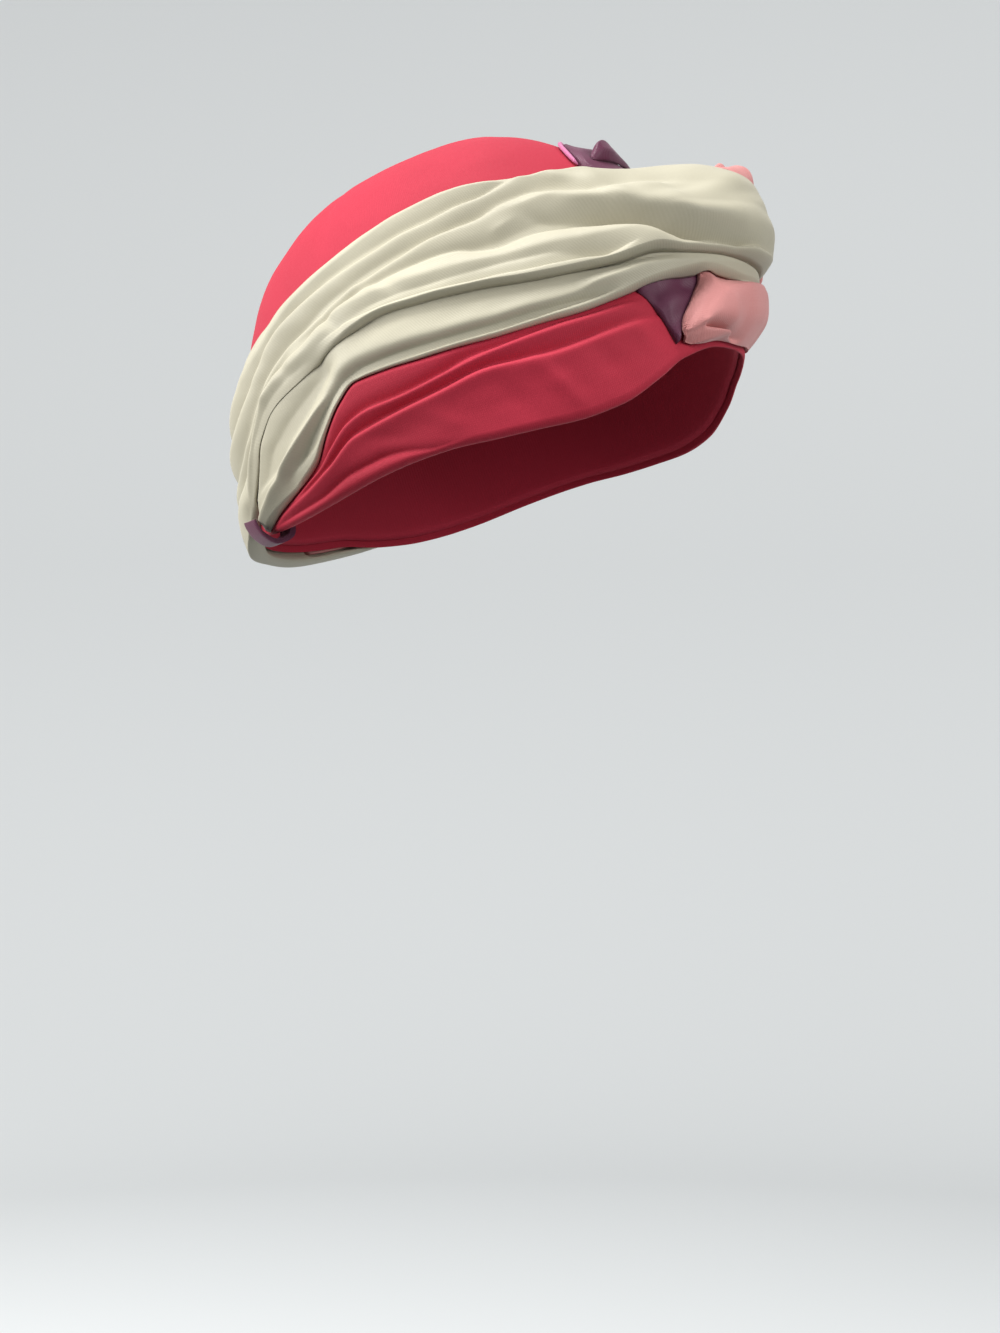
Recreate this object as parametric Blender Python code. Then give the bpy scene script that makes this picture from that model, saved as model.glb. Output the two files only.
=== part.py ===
"""Knotted turban headwrap: a cap with a pleated brow band, two wound sashes and a twist knot over the brow.

The front of the wearer is -Y, the wearer's right is -X, and +Z is up. The origin is the middle of the
head opening. Sizes are in millimetres and angles in degrees until a mesh is made, in metres.

Every piece is laid on one head form. A point on it has an azimuth (0 at the front, 90 at the wearer's
right, 180 at the back), a latitude above the tilted plane of the rim, and a lift above the cap's outer
face. A piece is laid over those made before it, whose height is kept in a map.
"""

import bmesh
import bpy
import numpy as np

METRES = 0.001

# Head form: half sizes of the cap's outer face, measured in the tilted plane of the rim and square to it.
FRONT_HALF = 104.0
BACK_HALF = 108.0
SIDE_HALF = 82.0
CROWN_RISE = 120.0
PLAN_POWER = 2.1
SIDE_POWER = 2.2
BROW_TILT = 21.0

# Where the form departs from an even egg: azimuth, latitude, half width, half height, rise.
FORM_SWELLS = (
    (10.0, 62.0, 45.0, 18.0, 2.5),
    (180.0, 37.0, 55.0, 15.0, -4.5),
)

# Cloth, and the gap between two layers, of which the flat facets take up to half.
CLOTH = 1.6
CAP_WALL = 2.0
GAP = 0.5

# How the knot lifts each cloth off the form: rise, azimuth and latitude of its middle, then its reach to
# either side, up and down.
STRAND_SWELL = (17.5, -4.0, 21.0, 26.0, 14.0, 15.0)
SAGE_SWELL = (29.2, -4.0, 21.0, 26.0, 14.0, 15.0)
SAGE_END_SWELL = (17.5, -4.0, 21.0, 26.0, 14.0, 15.0)
ROSE_SWELL = (29.5, -14.0, 26.0, 28.0, 10.0, 11.0)

BROW_PLEAT = 3.2
BORDER_FULLNESS = 3.2
HEM_RADIUS = 0.9

# Each colour: red, green, blue as linear values, then roughness.
CORAL = ("coral cloth", (0.83, 0.085, 0.13), 0.55)
SAGE = ("sage cloth", (0.49, 0.48, 0.36), 0.6)
ROSE = ("rose cloth", (0.72, 0.33, 0.30), 0.5)
PLUM = ("plum cloth", (0.11, 0.03, 0.055), 0.5)
VIOLET = ("violet cloth", (0.5, 0.14, 0.28), 0.45)

# Brow band, the same on both sides. Azimuth from the front, then the latitudes of its hidden top edge, its
# two pleat grooves, the bend of its lower edge, and its rim.
BROW_ROWS = (
    (0, 12.0, 9.0, 4.0, 0.0, -3.5),
    (12, 12.0, 8.5, 4.0, 0.0, -3.5),
    (24, 13.0, 9.0, 4.5, -1.5, -5.5),
    (32, 13.5, 10.0, 5.0, -4.0, -9.0),
    (43, 14.0, 10.0, 4.0, -8.0, -13.0),
    (53, 15.0, 10.0, 4.0, -9.5, -14.0),
    (63, 16.0, 10.0, 4.2, -9.8, -13.3),
    (73, 17.5, 10.0, 5.6, -9.4, -12.3),
    (86, 19.0, 9.8, 5.2, -8.0, -10.4),
    (100, 20.0, 9.0, 4.8, -5.0, -9.3),
    (110, 17.0, 7.6, 3.4, -4.0, -9.0),
    (118, 12.0, 4.0, 0.6, -4.2, -9.0),
    (127, 7.0, 0.0, -1.6, -5.4, -8.7),
    (137, 4.0, -2.2, -3.4, -5.2, -7.8),
    (147, 3.0, -3.0, -3.8, -4.6, -6.0),
    (160, 4.0, 1.5, 0.0, -1.6, -3.2),
    (180, 4.0, 1.5, 0.0, -1.6, -3.0),
)

# Sage sash, upper layer: azimuth, then the latitudes of its top edge, two ridges, the groove under the
# second, a third ridge and its lower lip, from the end that turns under at the knot, round the right and on
# past the nape.
SAGE_UPPER_ROWS = (
    (-26, 16.0, 15.2, 13.8, 13.0, 12.2, 11.0),
    (-20, 19.5, 18.2, 16.0, 14.2, 13.0, 10.8),
    (-14, 23.0, 21.8, 19.5, 14.6, 13.2, 10.4),
    (-8, 26.8, 25.4, 21.8, 13.8, 12.4, 10.2),
    (0, 31.0, 29.0, 22.5, 13.2, 11.8, 10.0),
    (6, 33.0, 30.8, 23.0, 14.2, 12.6, 10.6),
    (13, 35.0, 32.4, 24.0, 16.0, 14.4, 12.0),
    (21, 37.5, 34.4, 25.6, 19.4, 17.4, 14.2),
    (28, 40.0, 37.2, 29.6, 24.4, 21.4, 16.8),
    (35, 42.0, 39.8, 35.4, 28.2, 24.6, 19.6),
    (43, 43.8, 42.0, 38.2, 31.0, 28.0, 21.6),
    (53, 46.5, 44.0, 39.2, 32.4, 29.5, 23.8),
    (65, 49.0, 44.8, 40.2, 34.0, 31.2, 25.6),
    (80, 50.0, 45.0, 40.0, 35.4, 33.0, 28.2),
    (95, 49.0, 43.6, 38.6, 34.6, 32.2, 29.0),
    (108, 46.5, 41.0, 35.6, 32.4, 30.6, 27.4),
    (120, 44.0, 38.0, 32.2, 29.6, 28.0, 25.0),
    (130, 41.5, 35.2, 28.6, 25.6, 24.0, 20.6),
    (137, 39.2, 32.2, 25.0, 21.2, 19.0, 14.6),
    (143, 37.6, 29.0, 19.8, 15.8, 13.2, 7.4),
    (149, 36.0, 26.0, 14.8, 10.2, 7.2, 1.0),
    (156, 33.5, 23.0, 11.2, 6.6, 3.4, -3.6),
    (168, 29.0, 19.4, 9.2, 4.8, 2.0, -5.0),
    (185, 23.0, 15.4, 7.6, 3.8, 1.4, -5.0),
    (200, 15.0, 10.2, 5.0, 2.2, 0.2, -4.8),
    (214, 7.0, 4.6, 1.8, 0.2, -1.4, -4.6),
    (226, 0.0, -0.8, -2.0, -2.8, -3.4, -4.4),
)

# Sage sash, lower layer: azimuth, then the latitudes of its hidden top edge, its ridge, the groove under
# that and its foot.
SAGE_LOWER_ROWS = (
    (-12, 11.6, 9.9, 9.2, 8.4),
    (-4, 12.0, 9.8, 8.9, 7.9),
    (3, 13.0, 10.0, 9.0, 7.9),
    (9, 14.0, 11.0, 10.0, 8.8),
    (18, 16.5, 13.0, 12.0, 10.6),
    (28, 19.5, 15.0, 13.2, 10.8),
    (37, 22.0, 15.6, 12.8, 10.0),
    (44, 24.0, 15.8, 13.0, 9.6),
    (55, 26.0, 16.6, 14.0, 10.4),
    (65, 28.0, 17.6, 14.8, 11.3),
    (75, 29.5, 19.0, 16.0, 12.8),
    (85, 31.0, 21.0, 17.2, 14.0),
    (95, 31.5, 23.0, 19.0, 15.3),
    (104, 31.0, 23.0, 19.2, 15.8),
    (110, 29.5, 20.8, 17.0, 12.8),
    (116, 27.5, 18.0, 13.6, 7.6),
    (122, 25.0, 14.8, 9.4, 1.6),
    (131, 18.5, 9.0, 4.0, -2.0),
    (138, 11.0, 4.2, 0.8, -3.5),
    (144, 5.0, 0.4, -1.6, -4.6),
    (148.5, 1.4, -1.8, -3.0, -5.0),
)

# Rose sash, upper layer, on the wearer's left: the same lines as the sage one's upper layer. The last rows
# are its front edge, which crosses over the sage sash.
ROSE_UPPER_ROWS = (
    (-168, 9.0, 7.0, 4.0, 2.0, 0.0, -3.4),
    (-155, 19.0, 15.0, 9.0, 6.0, 3.0, -3.2),
    (-147, 26.0, 21.0, 13.0, 9.0, 6.0, 0.0),
    (-138, 31.0, 26.0, 18.0, 15.0, 12.5, 8.0),
    (-128, 34.5, 29.5, 23.0, 20.0, 17.5, 13.5),
    (-112, 38.0, 33.5, 28.5, 26.0, 23.5, 20.0),
    (-95, 40.0, 35.5, 31.0, 28.5, 26.5, 23.5),
    (-78, 40.5, 35.5, 31.0, 28.0, 26.0, 23.0),
    (-62, 39.5, 34.5, 30.0, 27.0, 24.5, 20.5),
    (-48, 37.0, 33.0, 28.5, 25.0, 22.0, 17.5),
    (-36, 34.0, 31.0, 26.5, 22.0, 19.0, 14.0),
    (-26, 32.0, 29.5, 25.0, 19.5, 16.5, 11.0),
    (-20, 31.5, 29.0, 24.5, 18.5, 15.5, 9.4),
    (-15.5, 31.0, 28.8, 24.5, 18.5, 15.5, 9.2),
    (-13, 30.8, 28.8, 25.5, 21.5, 19.5, 15.5),
    (-10, 30.6, 29.2, 27.4, 25.6, 24.8, 23.0),
    (-6, 30.4, 29.8, 28.8, 28.0, 27.6, 26.8),
    (-2, 30.2, 30.0, 29.7, 29.4, 29.2, 28.9),
)

# Rose sash, lower layer: the same lines as the sage one's lower layer.
ROSE_LOWER_ROWS = (
    (-152, 0.0, -1.4, -2.4, -3.6),
    (-145, 4.0, 0.0, -1.8, -4.4),
    (-136, 12.0, 5.0, 1.6, -3.2),
    (-126, 18.5, 11.0, 6.5, 0.5),
    (-114, 24.0, 17.0, 13.0, 8.0),
    (-98, 27.5, 20.0, 16.5, 13.0),
    (-80, 27.5, 19.5, 16.0, 12.6),
    (-62, 25.0, 17.0, 14.0, 10.8),
    (-48, 21.5, 15.0, 12.6, 9.8),
    (-36, 18.0, 13.2, 11.4, 9.4),
    (-26, 14.5, 11.6, 10.4, 9.0),
    (-18, 12.0, 10.6, 9.9, 9.0),
)

# Plum border of the rose sash: azimuth, then the latitudes of its hemmed edge on the cap, its middle and
# its foot, and the share of the rose swell that it climbs.
BORDER_ROWS = (
    (-160, 24.0, 20.0, 15.0, 0.0),
    (-148, 31.5, 28.0, 23.5, 0.0),
    (-135, 38.5, 34.5, 30.0, 0.0),
    (-120, 43.5, 39.0, 34.0, 0.0),
    (-100, 47.5, 43.0, 37.5, 0.0),
    (-80, 50.0, 44.5, 38.5, 0.2),
    (-62, 50.5, 44.0, 37.8, 0.8),
    (-45, 50.5, 42.5, 34.5, 1.0),
    (-32, 51.0, 40.5, 31.4, 1.0),
    (-20, 52.5, 39.0, 30.0, 1.15),
    (-10, 55.0, 38.0, 29.4, 1.15),
    (0, 55.5, 38.0, 29.4, 0.4),
    (8, 54.0, 39.0, 31.8, 0.3),
    (13, 52.0, 40.5, 33.0, 0.1),
    (16.5, 49.0, 41.0, 34.2, 0.0),
    (18.5, 46.0, 40.5, 35.0, 0.0),
    (19.6, 43.0, 40.0, 36.0, 0.0),
)

# Rose strand under the knot: azimuth, then the latitudes of its hidden top, its crest and its lowest fold,
# and the lift of the crest.
STRAND_ROWS = (
    (-36, 14.0, 9.0, 7.6, 5.0),
    (-30, 19.0, 8.0, 4.6, 8.6),
    (-24, 22.0, 7.4, 1.4, 12.8),
    (-18, 24.5, 6.8, -0.6, 16.0),
    (-12, 26.0, 6.5, -1.8, 18.2),
    (-4, 27.5, 6.4, -2.6, 19.2),
    (4, 29.0, 6.0, -3.2, 18.8),
    (10, 28.0, 5.0, -3.0, 17.2),
    (13.5, 20.0, 4.0, -2.2, 15.0),
    (17, 12.6, 2.6, -3.8, 14.6),
    (20, 9.0, 1.6, -4.4, 13.0),
    (23, 5.0, 0.4, -4.2, 10.0),
    (25.4, 1.6, -0.6, -2.8, 7.0),
)

# Plum fold beside the roll: azimuth, then the latitudes of its hidden top and its foot, and its fullest
# lift.
PLUM_FOLD_ROWS = (
    (14, 14.0, 9.4, 8.0),
    (17, 14.0, 7.0, 8.0),
    (20, 14.0, 4.6, 7.6),
    (23, 14.0, 1.8, 7.0),
    (25.4, 14.0, -1.0, 6.4),
    (26.3, 13.8, -2.6, 6.0),
    (27.4, 13.4, 1.4, 5.6),
    (29.0, 13.0, 6.4, 5.0),
    (31.0, 12.6, 10.2, 4.6),
)

# Standing pleat in the border: azimuth, then the latitudes of its upper and lower edges and how far it
# stands up.
PLEAT_ROWS = (
    (-26, 41.6, 40.6, 0.5),
    (-18, 44.2, 41.6, 1.2),
    (-8, 46.8, 42.2, 2.2),
    (2, 47.8, 42.0, 3.2),
    (9, 47.2, 41.8, 3.2),
    (13, 46.0, 42.4, 2.2),
    (15, 44.8, 43.2, 0.8),
)

# Loop at the nape: the azimuths that it spans, then how far each point is above the band's rim, and its
# lift, along the outer face and back along the inside of the bend.
LOOP_AZIMUTHS = (144.0, 149.5)
LOOP_SECTIONS = 4
LOOP_OUTER = ((4.6, 10.4), (3.0, 10.2), (0.4, 8.6), (-2.2, 4.4), (-2.2, -2.0), (0.6, -4.6), (5.6, -4.6))
LOOP_INNER = ((5.6, -2.9), (1.2, -2.9), (-1.0, -1.6), (-1.0, 3.8), (1.2, 7.4), (3.0, 8.7), (4.6, 9.0))

# Sections, from a piece's top edge down. A point is some way, 0 to 1, from one of the piece's lines to
# another.

# Brow band: from, to, how far, and its share of a pleat's height.
BROW_SECTION = (
    ("top", "top", 0.0, 0.0),
    ("groove_1", "groove_1", 0.0, 0.0),
    ("groove_1", "groove_2", 0.3, 1.0),
    ("groove_1", "groove_2", 0.75, 0.7),
    ("groove_2", "groove_2", 0.0, 0.1),
    ("groove_2", "bend", 0.15, 0.9),
    ("groove_2", "bend", 0.6, 0.7),
    ("bend", "bend", 0.0, 0.8),
    ("rim", "rim", 0.0, 0.0),
)

# Plum fold, and the roll's part of the strand: from, to, how far, and its share of the fullest lift.
PLUM_FOLD_SECTION = (
    ("top", "foot", 0.45, 0.9),
    ("top", "foot", 0.8, 1.0),
    ("foot", "foot", 0.0, 0.8),
)
ROLL_SECTION = (
    ("crest", "crest", 0.0, 1.0),
    ("crest", "bottom", 0.5, 0.84),
    ("crest", "bottom", 0.8, 0.55),
    ("bottom", "bottom", 0.0, 0.3),
)

# Lower layer: from, to, how far, its height over what is beneath it at the knot and at the sides, and its
# share of the knot's lift.
LOWER_SECTION = (
    ("top", "top", 0.0, 1.6, 1.6, 0.6),
    ("lip", "lip", 0.0, 1.6, 1.6, 0.6),
    ("lip", "ridge", 0.3, 2.2, 5.2, 0.85),
    ("ridge", "ridge", 0.0, 5.0, 5.0, 0.85),
    ("groove", "groove", 0.0, 2.2, 2.2, 0.85),
    ("groove", "foot", 0.6, 3.2, 3.2, 0.85),
    ("foot", "foot", 0.0, 1.4, 1.4, 0.85),
)

# Plum border: from, to, how far, and its share of the border's fullness.
BORDER_SECTION = (
    ("hem", "middle", 0.3, 0.8),
    ("middle", "middle", 0.0, 1.0),
    ("middle", "foot", 0.65, 0.5),
    ("foot", "foot", 0.0, 0.0),
)

# Upper layer: from, to, how far, and its height over what is beneath it at the knot and at the sides.
UPPER_SECTION = (
    ("top", "top", 0.0, 1.6, 1.6),
    ("ridge_1", "ridge_1", 0.0, 4.2, 4.2),
    ("ridge_1", "ridge_2", 0.65, 3.0, 3.0),
    ("ridge_2", "ridge_2", 0.0, 5.2, 5.2),
    ("ridge_2", "groove_2", 0.8, 4.4, 4.4),
    ("groove_2", "groove_2", 0.0, 2.6, 2.6),
    ("ridge_3", "ridge_3", 0.0, 5.0, 5.0),
    ("ridge_3", "lip", 0.55, 4.2, 4.2),
    ("ridge_3", "lip", 0.75, 4.8, 3.2),
    ("lip", "lip", 0.0, 2.6, 2.6),
)

# Standing pleat: how far up it, and its share of the pleat's height.
PLEAT_SECTION = ((1.0, 0.35), (0.75, 0.8), (0.45, 1.0), (0.1, 0.8), (0.0, 0.35))

# A wound layer's folds are full where it is at least so many degrees wide, and never lower than this share.
LOWER_FULL_WIDTH = 12.0
UPPER_FULL_WIDTH = 14.0
LOWER_LEAST_SHARE = 0.3
UPPER_LEAST_SHARE = 0.12
FLAT_LIFT = 1.2

# How far the upper layers rest above the cap: on a lower layer, and where the sage one lies on the rose
# one's tail.
ON_LOWER = 2.6
ON_TAIL = 5.0

# How far the cap's foot is above the band's rim, in degrees, and how full the border is inside beside its
# outside.
CROWN_FOOT = 1.5
BORDER_HOLLOW = 0.7

# Smooth changes along a piece: each starts at the first azimuth and is done at the second.
PLEATS_START = ((22.0, 36.0), (-34.0, -50.0))
PLEATS_END = (160.0, 138.0)
STRAND_ENDS = ((36.0, 24.0), (-46.0, -34.0))
SIDE_ENDS = ((34.0, 52.0), (142.0, 128.0))
SAGE_PAST_LOWER = (146.0, 154.0)
SAGE_ON_TAIL = (176.0, 196.0)
SAGE_TURNS_UNDER = (-1.0, -16.0)
ROSE_PAST_LOWER = (-152.0, -146.0)

# Azimuths of each piece's sections, in runs of first, last and step.
STATIONS = {
    "crown": ((-180.0, 172.0, 8.0),),
    "brow_band": ((-180.0, 172.5, 7.5),),
    "sage_lower_wrap": ((-12.0, 43.0, 5.0), (48.0, 96.0, 8.0), (106.0, 148.5, 4.25)),
    "rose_lower_wrap": ((-152.0, -116.0, 6.0), (-108.0, -18.0, 7.5)),
    "plum_border": (
        (-160.0, -48.0, 8.0),
        (-42.0, -12.0, 6.0),
        (-6.0, 14.0, 5.0),
        (16.5, 18.5, 2.0),
        (19.6, 19.6, 1.0),
    ),
    "sage_upper_wrap": ((-26.0, 44.0, 5.0), (52.0, 116.0, 8.0), (121.0, 161.0, 5.0), (168.0, 226.0, 7.25)),
    "rose_tail": ((-168.0, -105.0, 7.0),),
    "rose_front": ((-98.0, -58.0, 8.0), (-48.0, -21.0, 4.5), (-20.0, -2.5, 2.5)),
    "plum_pleat": ((-26.0, 9.0, 5.0), (13.0, 15.0, 2.0)),
    "border_hem": ((-136.0, -1.0, 5.0), (0.0, 15.0, 3.0), (16.5, 18.0, 1.5), (19.0, 19.0, 1.0)),
}

# The height map: cells per degree, and the latitudes that it spans.
MAP_CELLS = 2
MAP_LATITUDES = (-20, 92)
MAP_STEPS = 6


def swell(azimuth, latitude, middle_azimuth, middle_latitude, half_width, half_height):
    """A smooth bump, 1 in its middle."""
    turn = (azimuth - middle_azimuth + 180.0) % 360.0 - 180.0
    return np.exp(-((turn / half_width) ** 2) - ((latitude - middle_latitude) / half_height) ** 2)


def knot(shape, azimuth, latitude):
    """How far the knot lifts a cloth, from one of the knot's shapes."""
    rise, middle_azimuth, middle_latitude, aside, up, down = shape
    reach = np.where(latitude > middle_latitude, up, down)
    return rise * swell(azimuth, latitude, middle_azimuth, middle_latitude, aside, reach)


def form_radius(azimuth, latitude):
    """Distance from the origin to the cap's outer face."""
    around, up = np.radians(azimuth), np.radians(latitude)
    forward, aside = np.cos(up) * np.cos(around), np.cos(up) * np.sin(around)
    half_length = np.where(forward > 0, FRONT_HALF, BACK_HALF)
    plan = np.abs(forward / half_length) ** PLAN_POWER + np.abs(aside / SIDE_HALF) ** PLAN_POWER
    rise = np.abs(np.sin(up) / CROWN_RISE) ** SIDE_POWER
    radius = (plan ** (SIDE_POWER / PLAN_POWER) + rise) ** (-1 / SIDE_POWER)
    for middle_azimuth, middle_latitude, half_width, half_height, out in FORM_SWELLS:
        bump = swell(azimuth, latitude, middle_azimuth, middle_latitude, half_width, half_height)
        radius = radius + out * bump * step_between(latitude, 89.0, 72.0)
    return radius


def placed(azimuth, latitude, lift):
    """Points in metres, from azimuth, latitude and lift."""
    around, up, tilt = np.radians(azimuth), np.radians(latitude), np.radians(BROW_TILT)
    reach = (form_radius(azimuth, latitude) + lift) * METRES
    forward, aside = reach * np.cos(up) * np.cos(around), reach * np.cos(up) * np.sin(around)
    above = reach * np.sin(up)
    return np.stack(
        [
            -aside,
            above * np.sin(tilt) - forward * np.cos(tilt),
            above * np.cos(tilt) + forward * np.sin(tilt),
        ],
        axis=-1,
    )


def step_between(value, start, end):
    """0 at start, 1 at end, smooth in between."""
    part = np.clip((value - start) / (end - start), 0.0, 1.0)
    return part * part * (3 - 2 * part)


def rows_at(rows, azimuth):
    """The columns of a table at each azimuth, on a smooth curve through its rows that never overshoots."""
    table = np.array(rows, float)
    at, columns = table[:, 0], table[:, 1:]
    step = np.diff(at)[:, None]
    pitch = np.diff(columns, axis=0) / step
    slope = np.zeros_like(columns)
    slope[0], slope[-1] = pitch[0], pitch[-1]
    total = pitch[:-1] + pitch[1:]
    same_way = pitch[:-1] * pitch[1:] > 0
    slope[1:-1] = np.where(same_way, 2 * pitch[:-1] * pitch[1:] / np.where(same_way, total, 1), 0)
    azimuth = np.clip(azimuth, at[0], at[-1])
    row = np.clip(np.searchsorted(at, azimuth) - 1, 0, len(at) - 2)
    width = step[row][..., 0]
    part = (azimuth - at[row]) / width
    return (
        (2 * part**3 - 3 * part**2 + 1) * columns[row].T
        + (part**3 - 2 * part**2 + part) * width * slope[row].T
        + (3 * part**2 - 2 * part**3) * columns[row + 1].T
        + (part**3 - part**2) * width * slope[row + 1].T
    )


def stations(piece):
    """The azimuths of a piece's sections."""
    runs = [np.arange(first, last + 0.5 * step, step) for first, last, step in STATIONS[piece]]
    return np.concatenate(runs)


def between(lines, start, end, part):
    """The latitudes of a point some way from one of a piece's lines to another."""
    return (1 - part) * lines[start] + part * lines[end]


def curve_through(points, per_span):
    """A smooth curve through each section's points, (section, point, 2), with per_span steps a span."""
    ends = np.concatenate([points[:, :1], points, points[:, -1:]], axis=1)
    before, start, end, after = ends[:, :-3], ends[:, 1:-2], ends[:, 2:-1], ends[:, 3:]
    steps = [start]
    for step in range(1, per_span):
        part = step / per_span
        steps.append(
            0.5
            * (
                2 * start
                + (end - before) * part
                + (2 * before - 5 * start + 4 * end - after) * part**2
                + (3 * start - before - 3 * end + after) * part**3
            )
        )
    woven = np.stack(steps, axis=2).reshape(len(points), -1, 2)
    return np.concatenate([woven, points[:, -1:]], axis=1)


def section(*corners):
    """Corner points (latitude, lift) of every section, stacked as (section, point, 2)."""
    return np.stack([np.stack(np.broadcast_arrays(*corner), axis=-1) for corner in corners], axis=1)


def bare_form():
    """The height map before anything is laid on the form: one lift per cell of azimuth and latitude."""
    return np.zeros((360 * MAP_CELLS, (MAP_LATITUDES[1] - MAP_LATITUDES[0]) * MAP_CELLS))


def refined(azimuth, face):
    """A face's azimuths, latitudes and lifts with more steps each way, on the same flat facets."""
    sections, corners = face.shape[:2]
    across = np.linspace(0, sections - 1, MAP_STEPS * (sections - 1) + 1)
    along = np.linspace(0, corners - 1, MAP_STEPS * (corners - 1) + 1)
    row, corner = np.minimum(across.astype(int), sections - 2), np.minimum(along.astype(int), corners - 2)
    share, part = (across - row)[:, None, None], (along - corner)[None, :, None]
    near, far = face[row], face[row + 1]
    near = near[:, corner] * (1 - part) + near[:, corner + 1] * part
    far = far[:, corner] * (1 - part) + far[:, corner + 1] * part
    fine = near * (1 - share) + far * share
    turned = azimuth[row] * (1 - share[:, 0, 0]) + azimuth[row + 1] * share[:, 0, 0]
    return np.broadcast_to(turned[:, None], fine.shape[:2]), fine[..., 0], fine[..., 1]


def cell_of(azimuth, latitude):
    """The cell that holds a point, as a row and a column of the height map."""
    row = np.floor(azimuth * MAP_CELLS).astype(int) % (360 * MAP_CELLS)
    column = np.floor((latitude - MAP_LATITUDES[0]) * MAP_CELLS).astype(int)
    return row, column


def heaped(cover, azimuth, face):
    """The height map with one more face laid on it."""
    turned, latitude, lift = refined(azimuth, face)
    heap = cover.copy()
    np.maximum.at(heap, cell_of(turned, latitude), lift)
    return heap


def height_at(cover, azimuth, latitude):
    """The greatest height in the cell that holds each point and those round it."""
    row, column = cell_of(azimuth, latitude)
    around = [
        cover[(row + aside) % len(cover), np.clip(column + up, 0, cover.shape[1] - 1)]
        for aside in (-1, 0, 1)
        for up in (-1, 0, 1)
    ]
    return np.max(around, axis=0)


def cleared(cover, azimuth, face, clearance):
    """The face with its points raised until each flat facet between them clears the height map."""
    short = height_at(cover, *refined(azimuth, face)[:2]) + clearance - refined(azimuth, face)[2]
    raised = face.copy()
    for row in range(face.shape[0]):
        for corner in range(face.shape[1]):
            near = short[
                max(0, (row - 1) * MAP_STEPS + 1) : (row + 1) * MAP_STEPS,
                max(0, (corner - 1) * MAP_STEPS + 1) : (corner + 1) * MAP_STEPS,
            ]
            raised[row, corner, 1] += max(0.0, near.max())
    return raised


def cloth_material(cloth):
    label, colour, roughness = cloth
    material = bpy.data.materials.get(label) or bpy.data.materials.new(label)
    material.use_nodes = True
    shader = material.node_tree.nodes["Principled BSDF"]
    shader.inputs["Base Color"].default_value = (*colour, 1.0)
    shader.inputs["Roughness"].default_value = roughness
    shader.inputs["Metallic"].default_value = 0.0
    return material


def finished(name, mesh_maker, cloth):
    mesh = bpy.data.meshes.new(name)
    bmesh.ops.recalc_face_normals(mesh_maker, faces=mesh_maker.faces)
    if mesh_maker.calc_volume(signed=True) < 0:
        bmesh.ops.reverse_faces(mesh_maker, faces=mesh_maker.faces)
    mesh_maker.to_mesh(mesh)
    mesh_maker.free()
    mesh.shade_smooth()
    mesh.materials.append(cloth_material(cloth))
    piece = bpy.data.objects.new(name, mesh)
    bpy.context.scene.collection.objects.link(piece)


def lofted(name, azimuth, outline, cloth, closed=False, from_pole=False):
    """A solid from one outline (latitude, lift) at each azimuth. A closed loft goes all the way round.

    The outline is a closed ring, or runs from the pole to the pole again.
    """
    around = np.broadcast_to(azimuth[:, None], outline.shape[:2])
    points = placed(around, outline[..., 0], outline[..., 1])
    if not from_pole:
        points = np.concatenate([points, points[:, :1]], axis=1)
    if closed:
        points = np.concatenate([points, points[:1]], axis=0)
    maker = bmesh.new()
    sections, corners = points.shape[:2]
    bmesh.ops.create_grid(maker, x_segments=sections - 1, y_segments=corners - 1, size=0.5)
    for vertex in maker.verts:
        row = round((vertex.co.x + 0.5) * (sections - 1))
        corner = round((vertex.co.y + 0.5) * (corners - 1))
        vertex.co = points[row, corner]
    bmesh.ops.remove_doubles(maker, verts=maker.verts, dist=1e-7)
    bmesh.ops.holes_fill(maker, edges=[edge for edge in maker.edges if edge.is_boundary])
    finished(name, maker, cloth)


def inner_face(top, foot, count, lift=GAP):
    """The face that a piece lies on, between two latitudes, before it is raised clear of what is beneath."""
    part = np.linspace(0.0, 1.0, count)
    latitude = top[:, None] + (foot - top)[:, None] * part
    return np.stack([latitude, np.broadcast_to(lift, latitude.shape)], axis=-1)


def laid(azimuth, corners, inner, cover):
    """An outer face through its corners and an inner face, both clear of what is beneath, and the new map."""
    inner = cleared(cover, azimuth, inner, GAP)
    under = heaped(cover, azimuth, inner)
    outer = cleared(under, azimuth, curve_through(corners, 2), CLOTH)
    return outer, inner, heaped(under, azimuth, outer)


def closed_outline(outer, inner):
    """The outer face from its top edge down, and the inner face back up."""
    return np.concatenate([outer, inner[:, ::-1]], axis=1)


def brow_lines(azimuth):
    """The latitudes of the brow band's lines, by name."""
    turned = np.abs((azimuth + 180.0) % 360.0 - 180.0)
    return dict(zip(("top", "groove_1", "groove_2", "bend", "rim"), rows_at(BROW_ROWS, turned)))


def wrap_foot(azimuth):
    """The lowest latitude that the sashes cover, all round."""
    right = rows_at(SAGE_LOWER_ROWS, azimuth)[-1]
    left = rows_at(ROSE_LOWER_ROWS, azimuth)[-1]
    return np.where(azimuth > SAGE_LOWER_ROWS[0][0], right, left)


def over_strand(azimuth):
    """1 where the strand passes under a sash, 0 away from the knot."""
    right, left = STRAND_ENDS
    return step_between(azimuth, *right) * step_between(azimuth, *left)


def at_side(azimuth):
    """1 along the sides, where the upper layer's lip lies flat on the lower one, 0 at knot and nape."""
    front, back = SIDE_ENDS
    turn = np.abs(azimuth)
    return step_between(turn, *front) * step_between(turn, *back)


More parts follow.
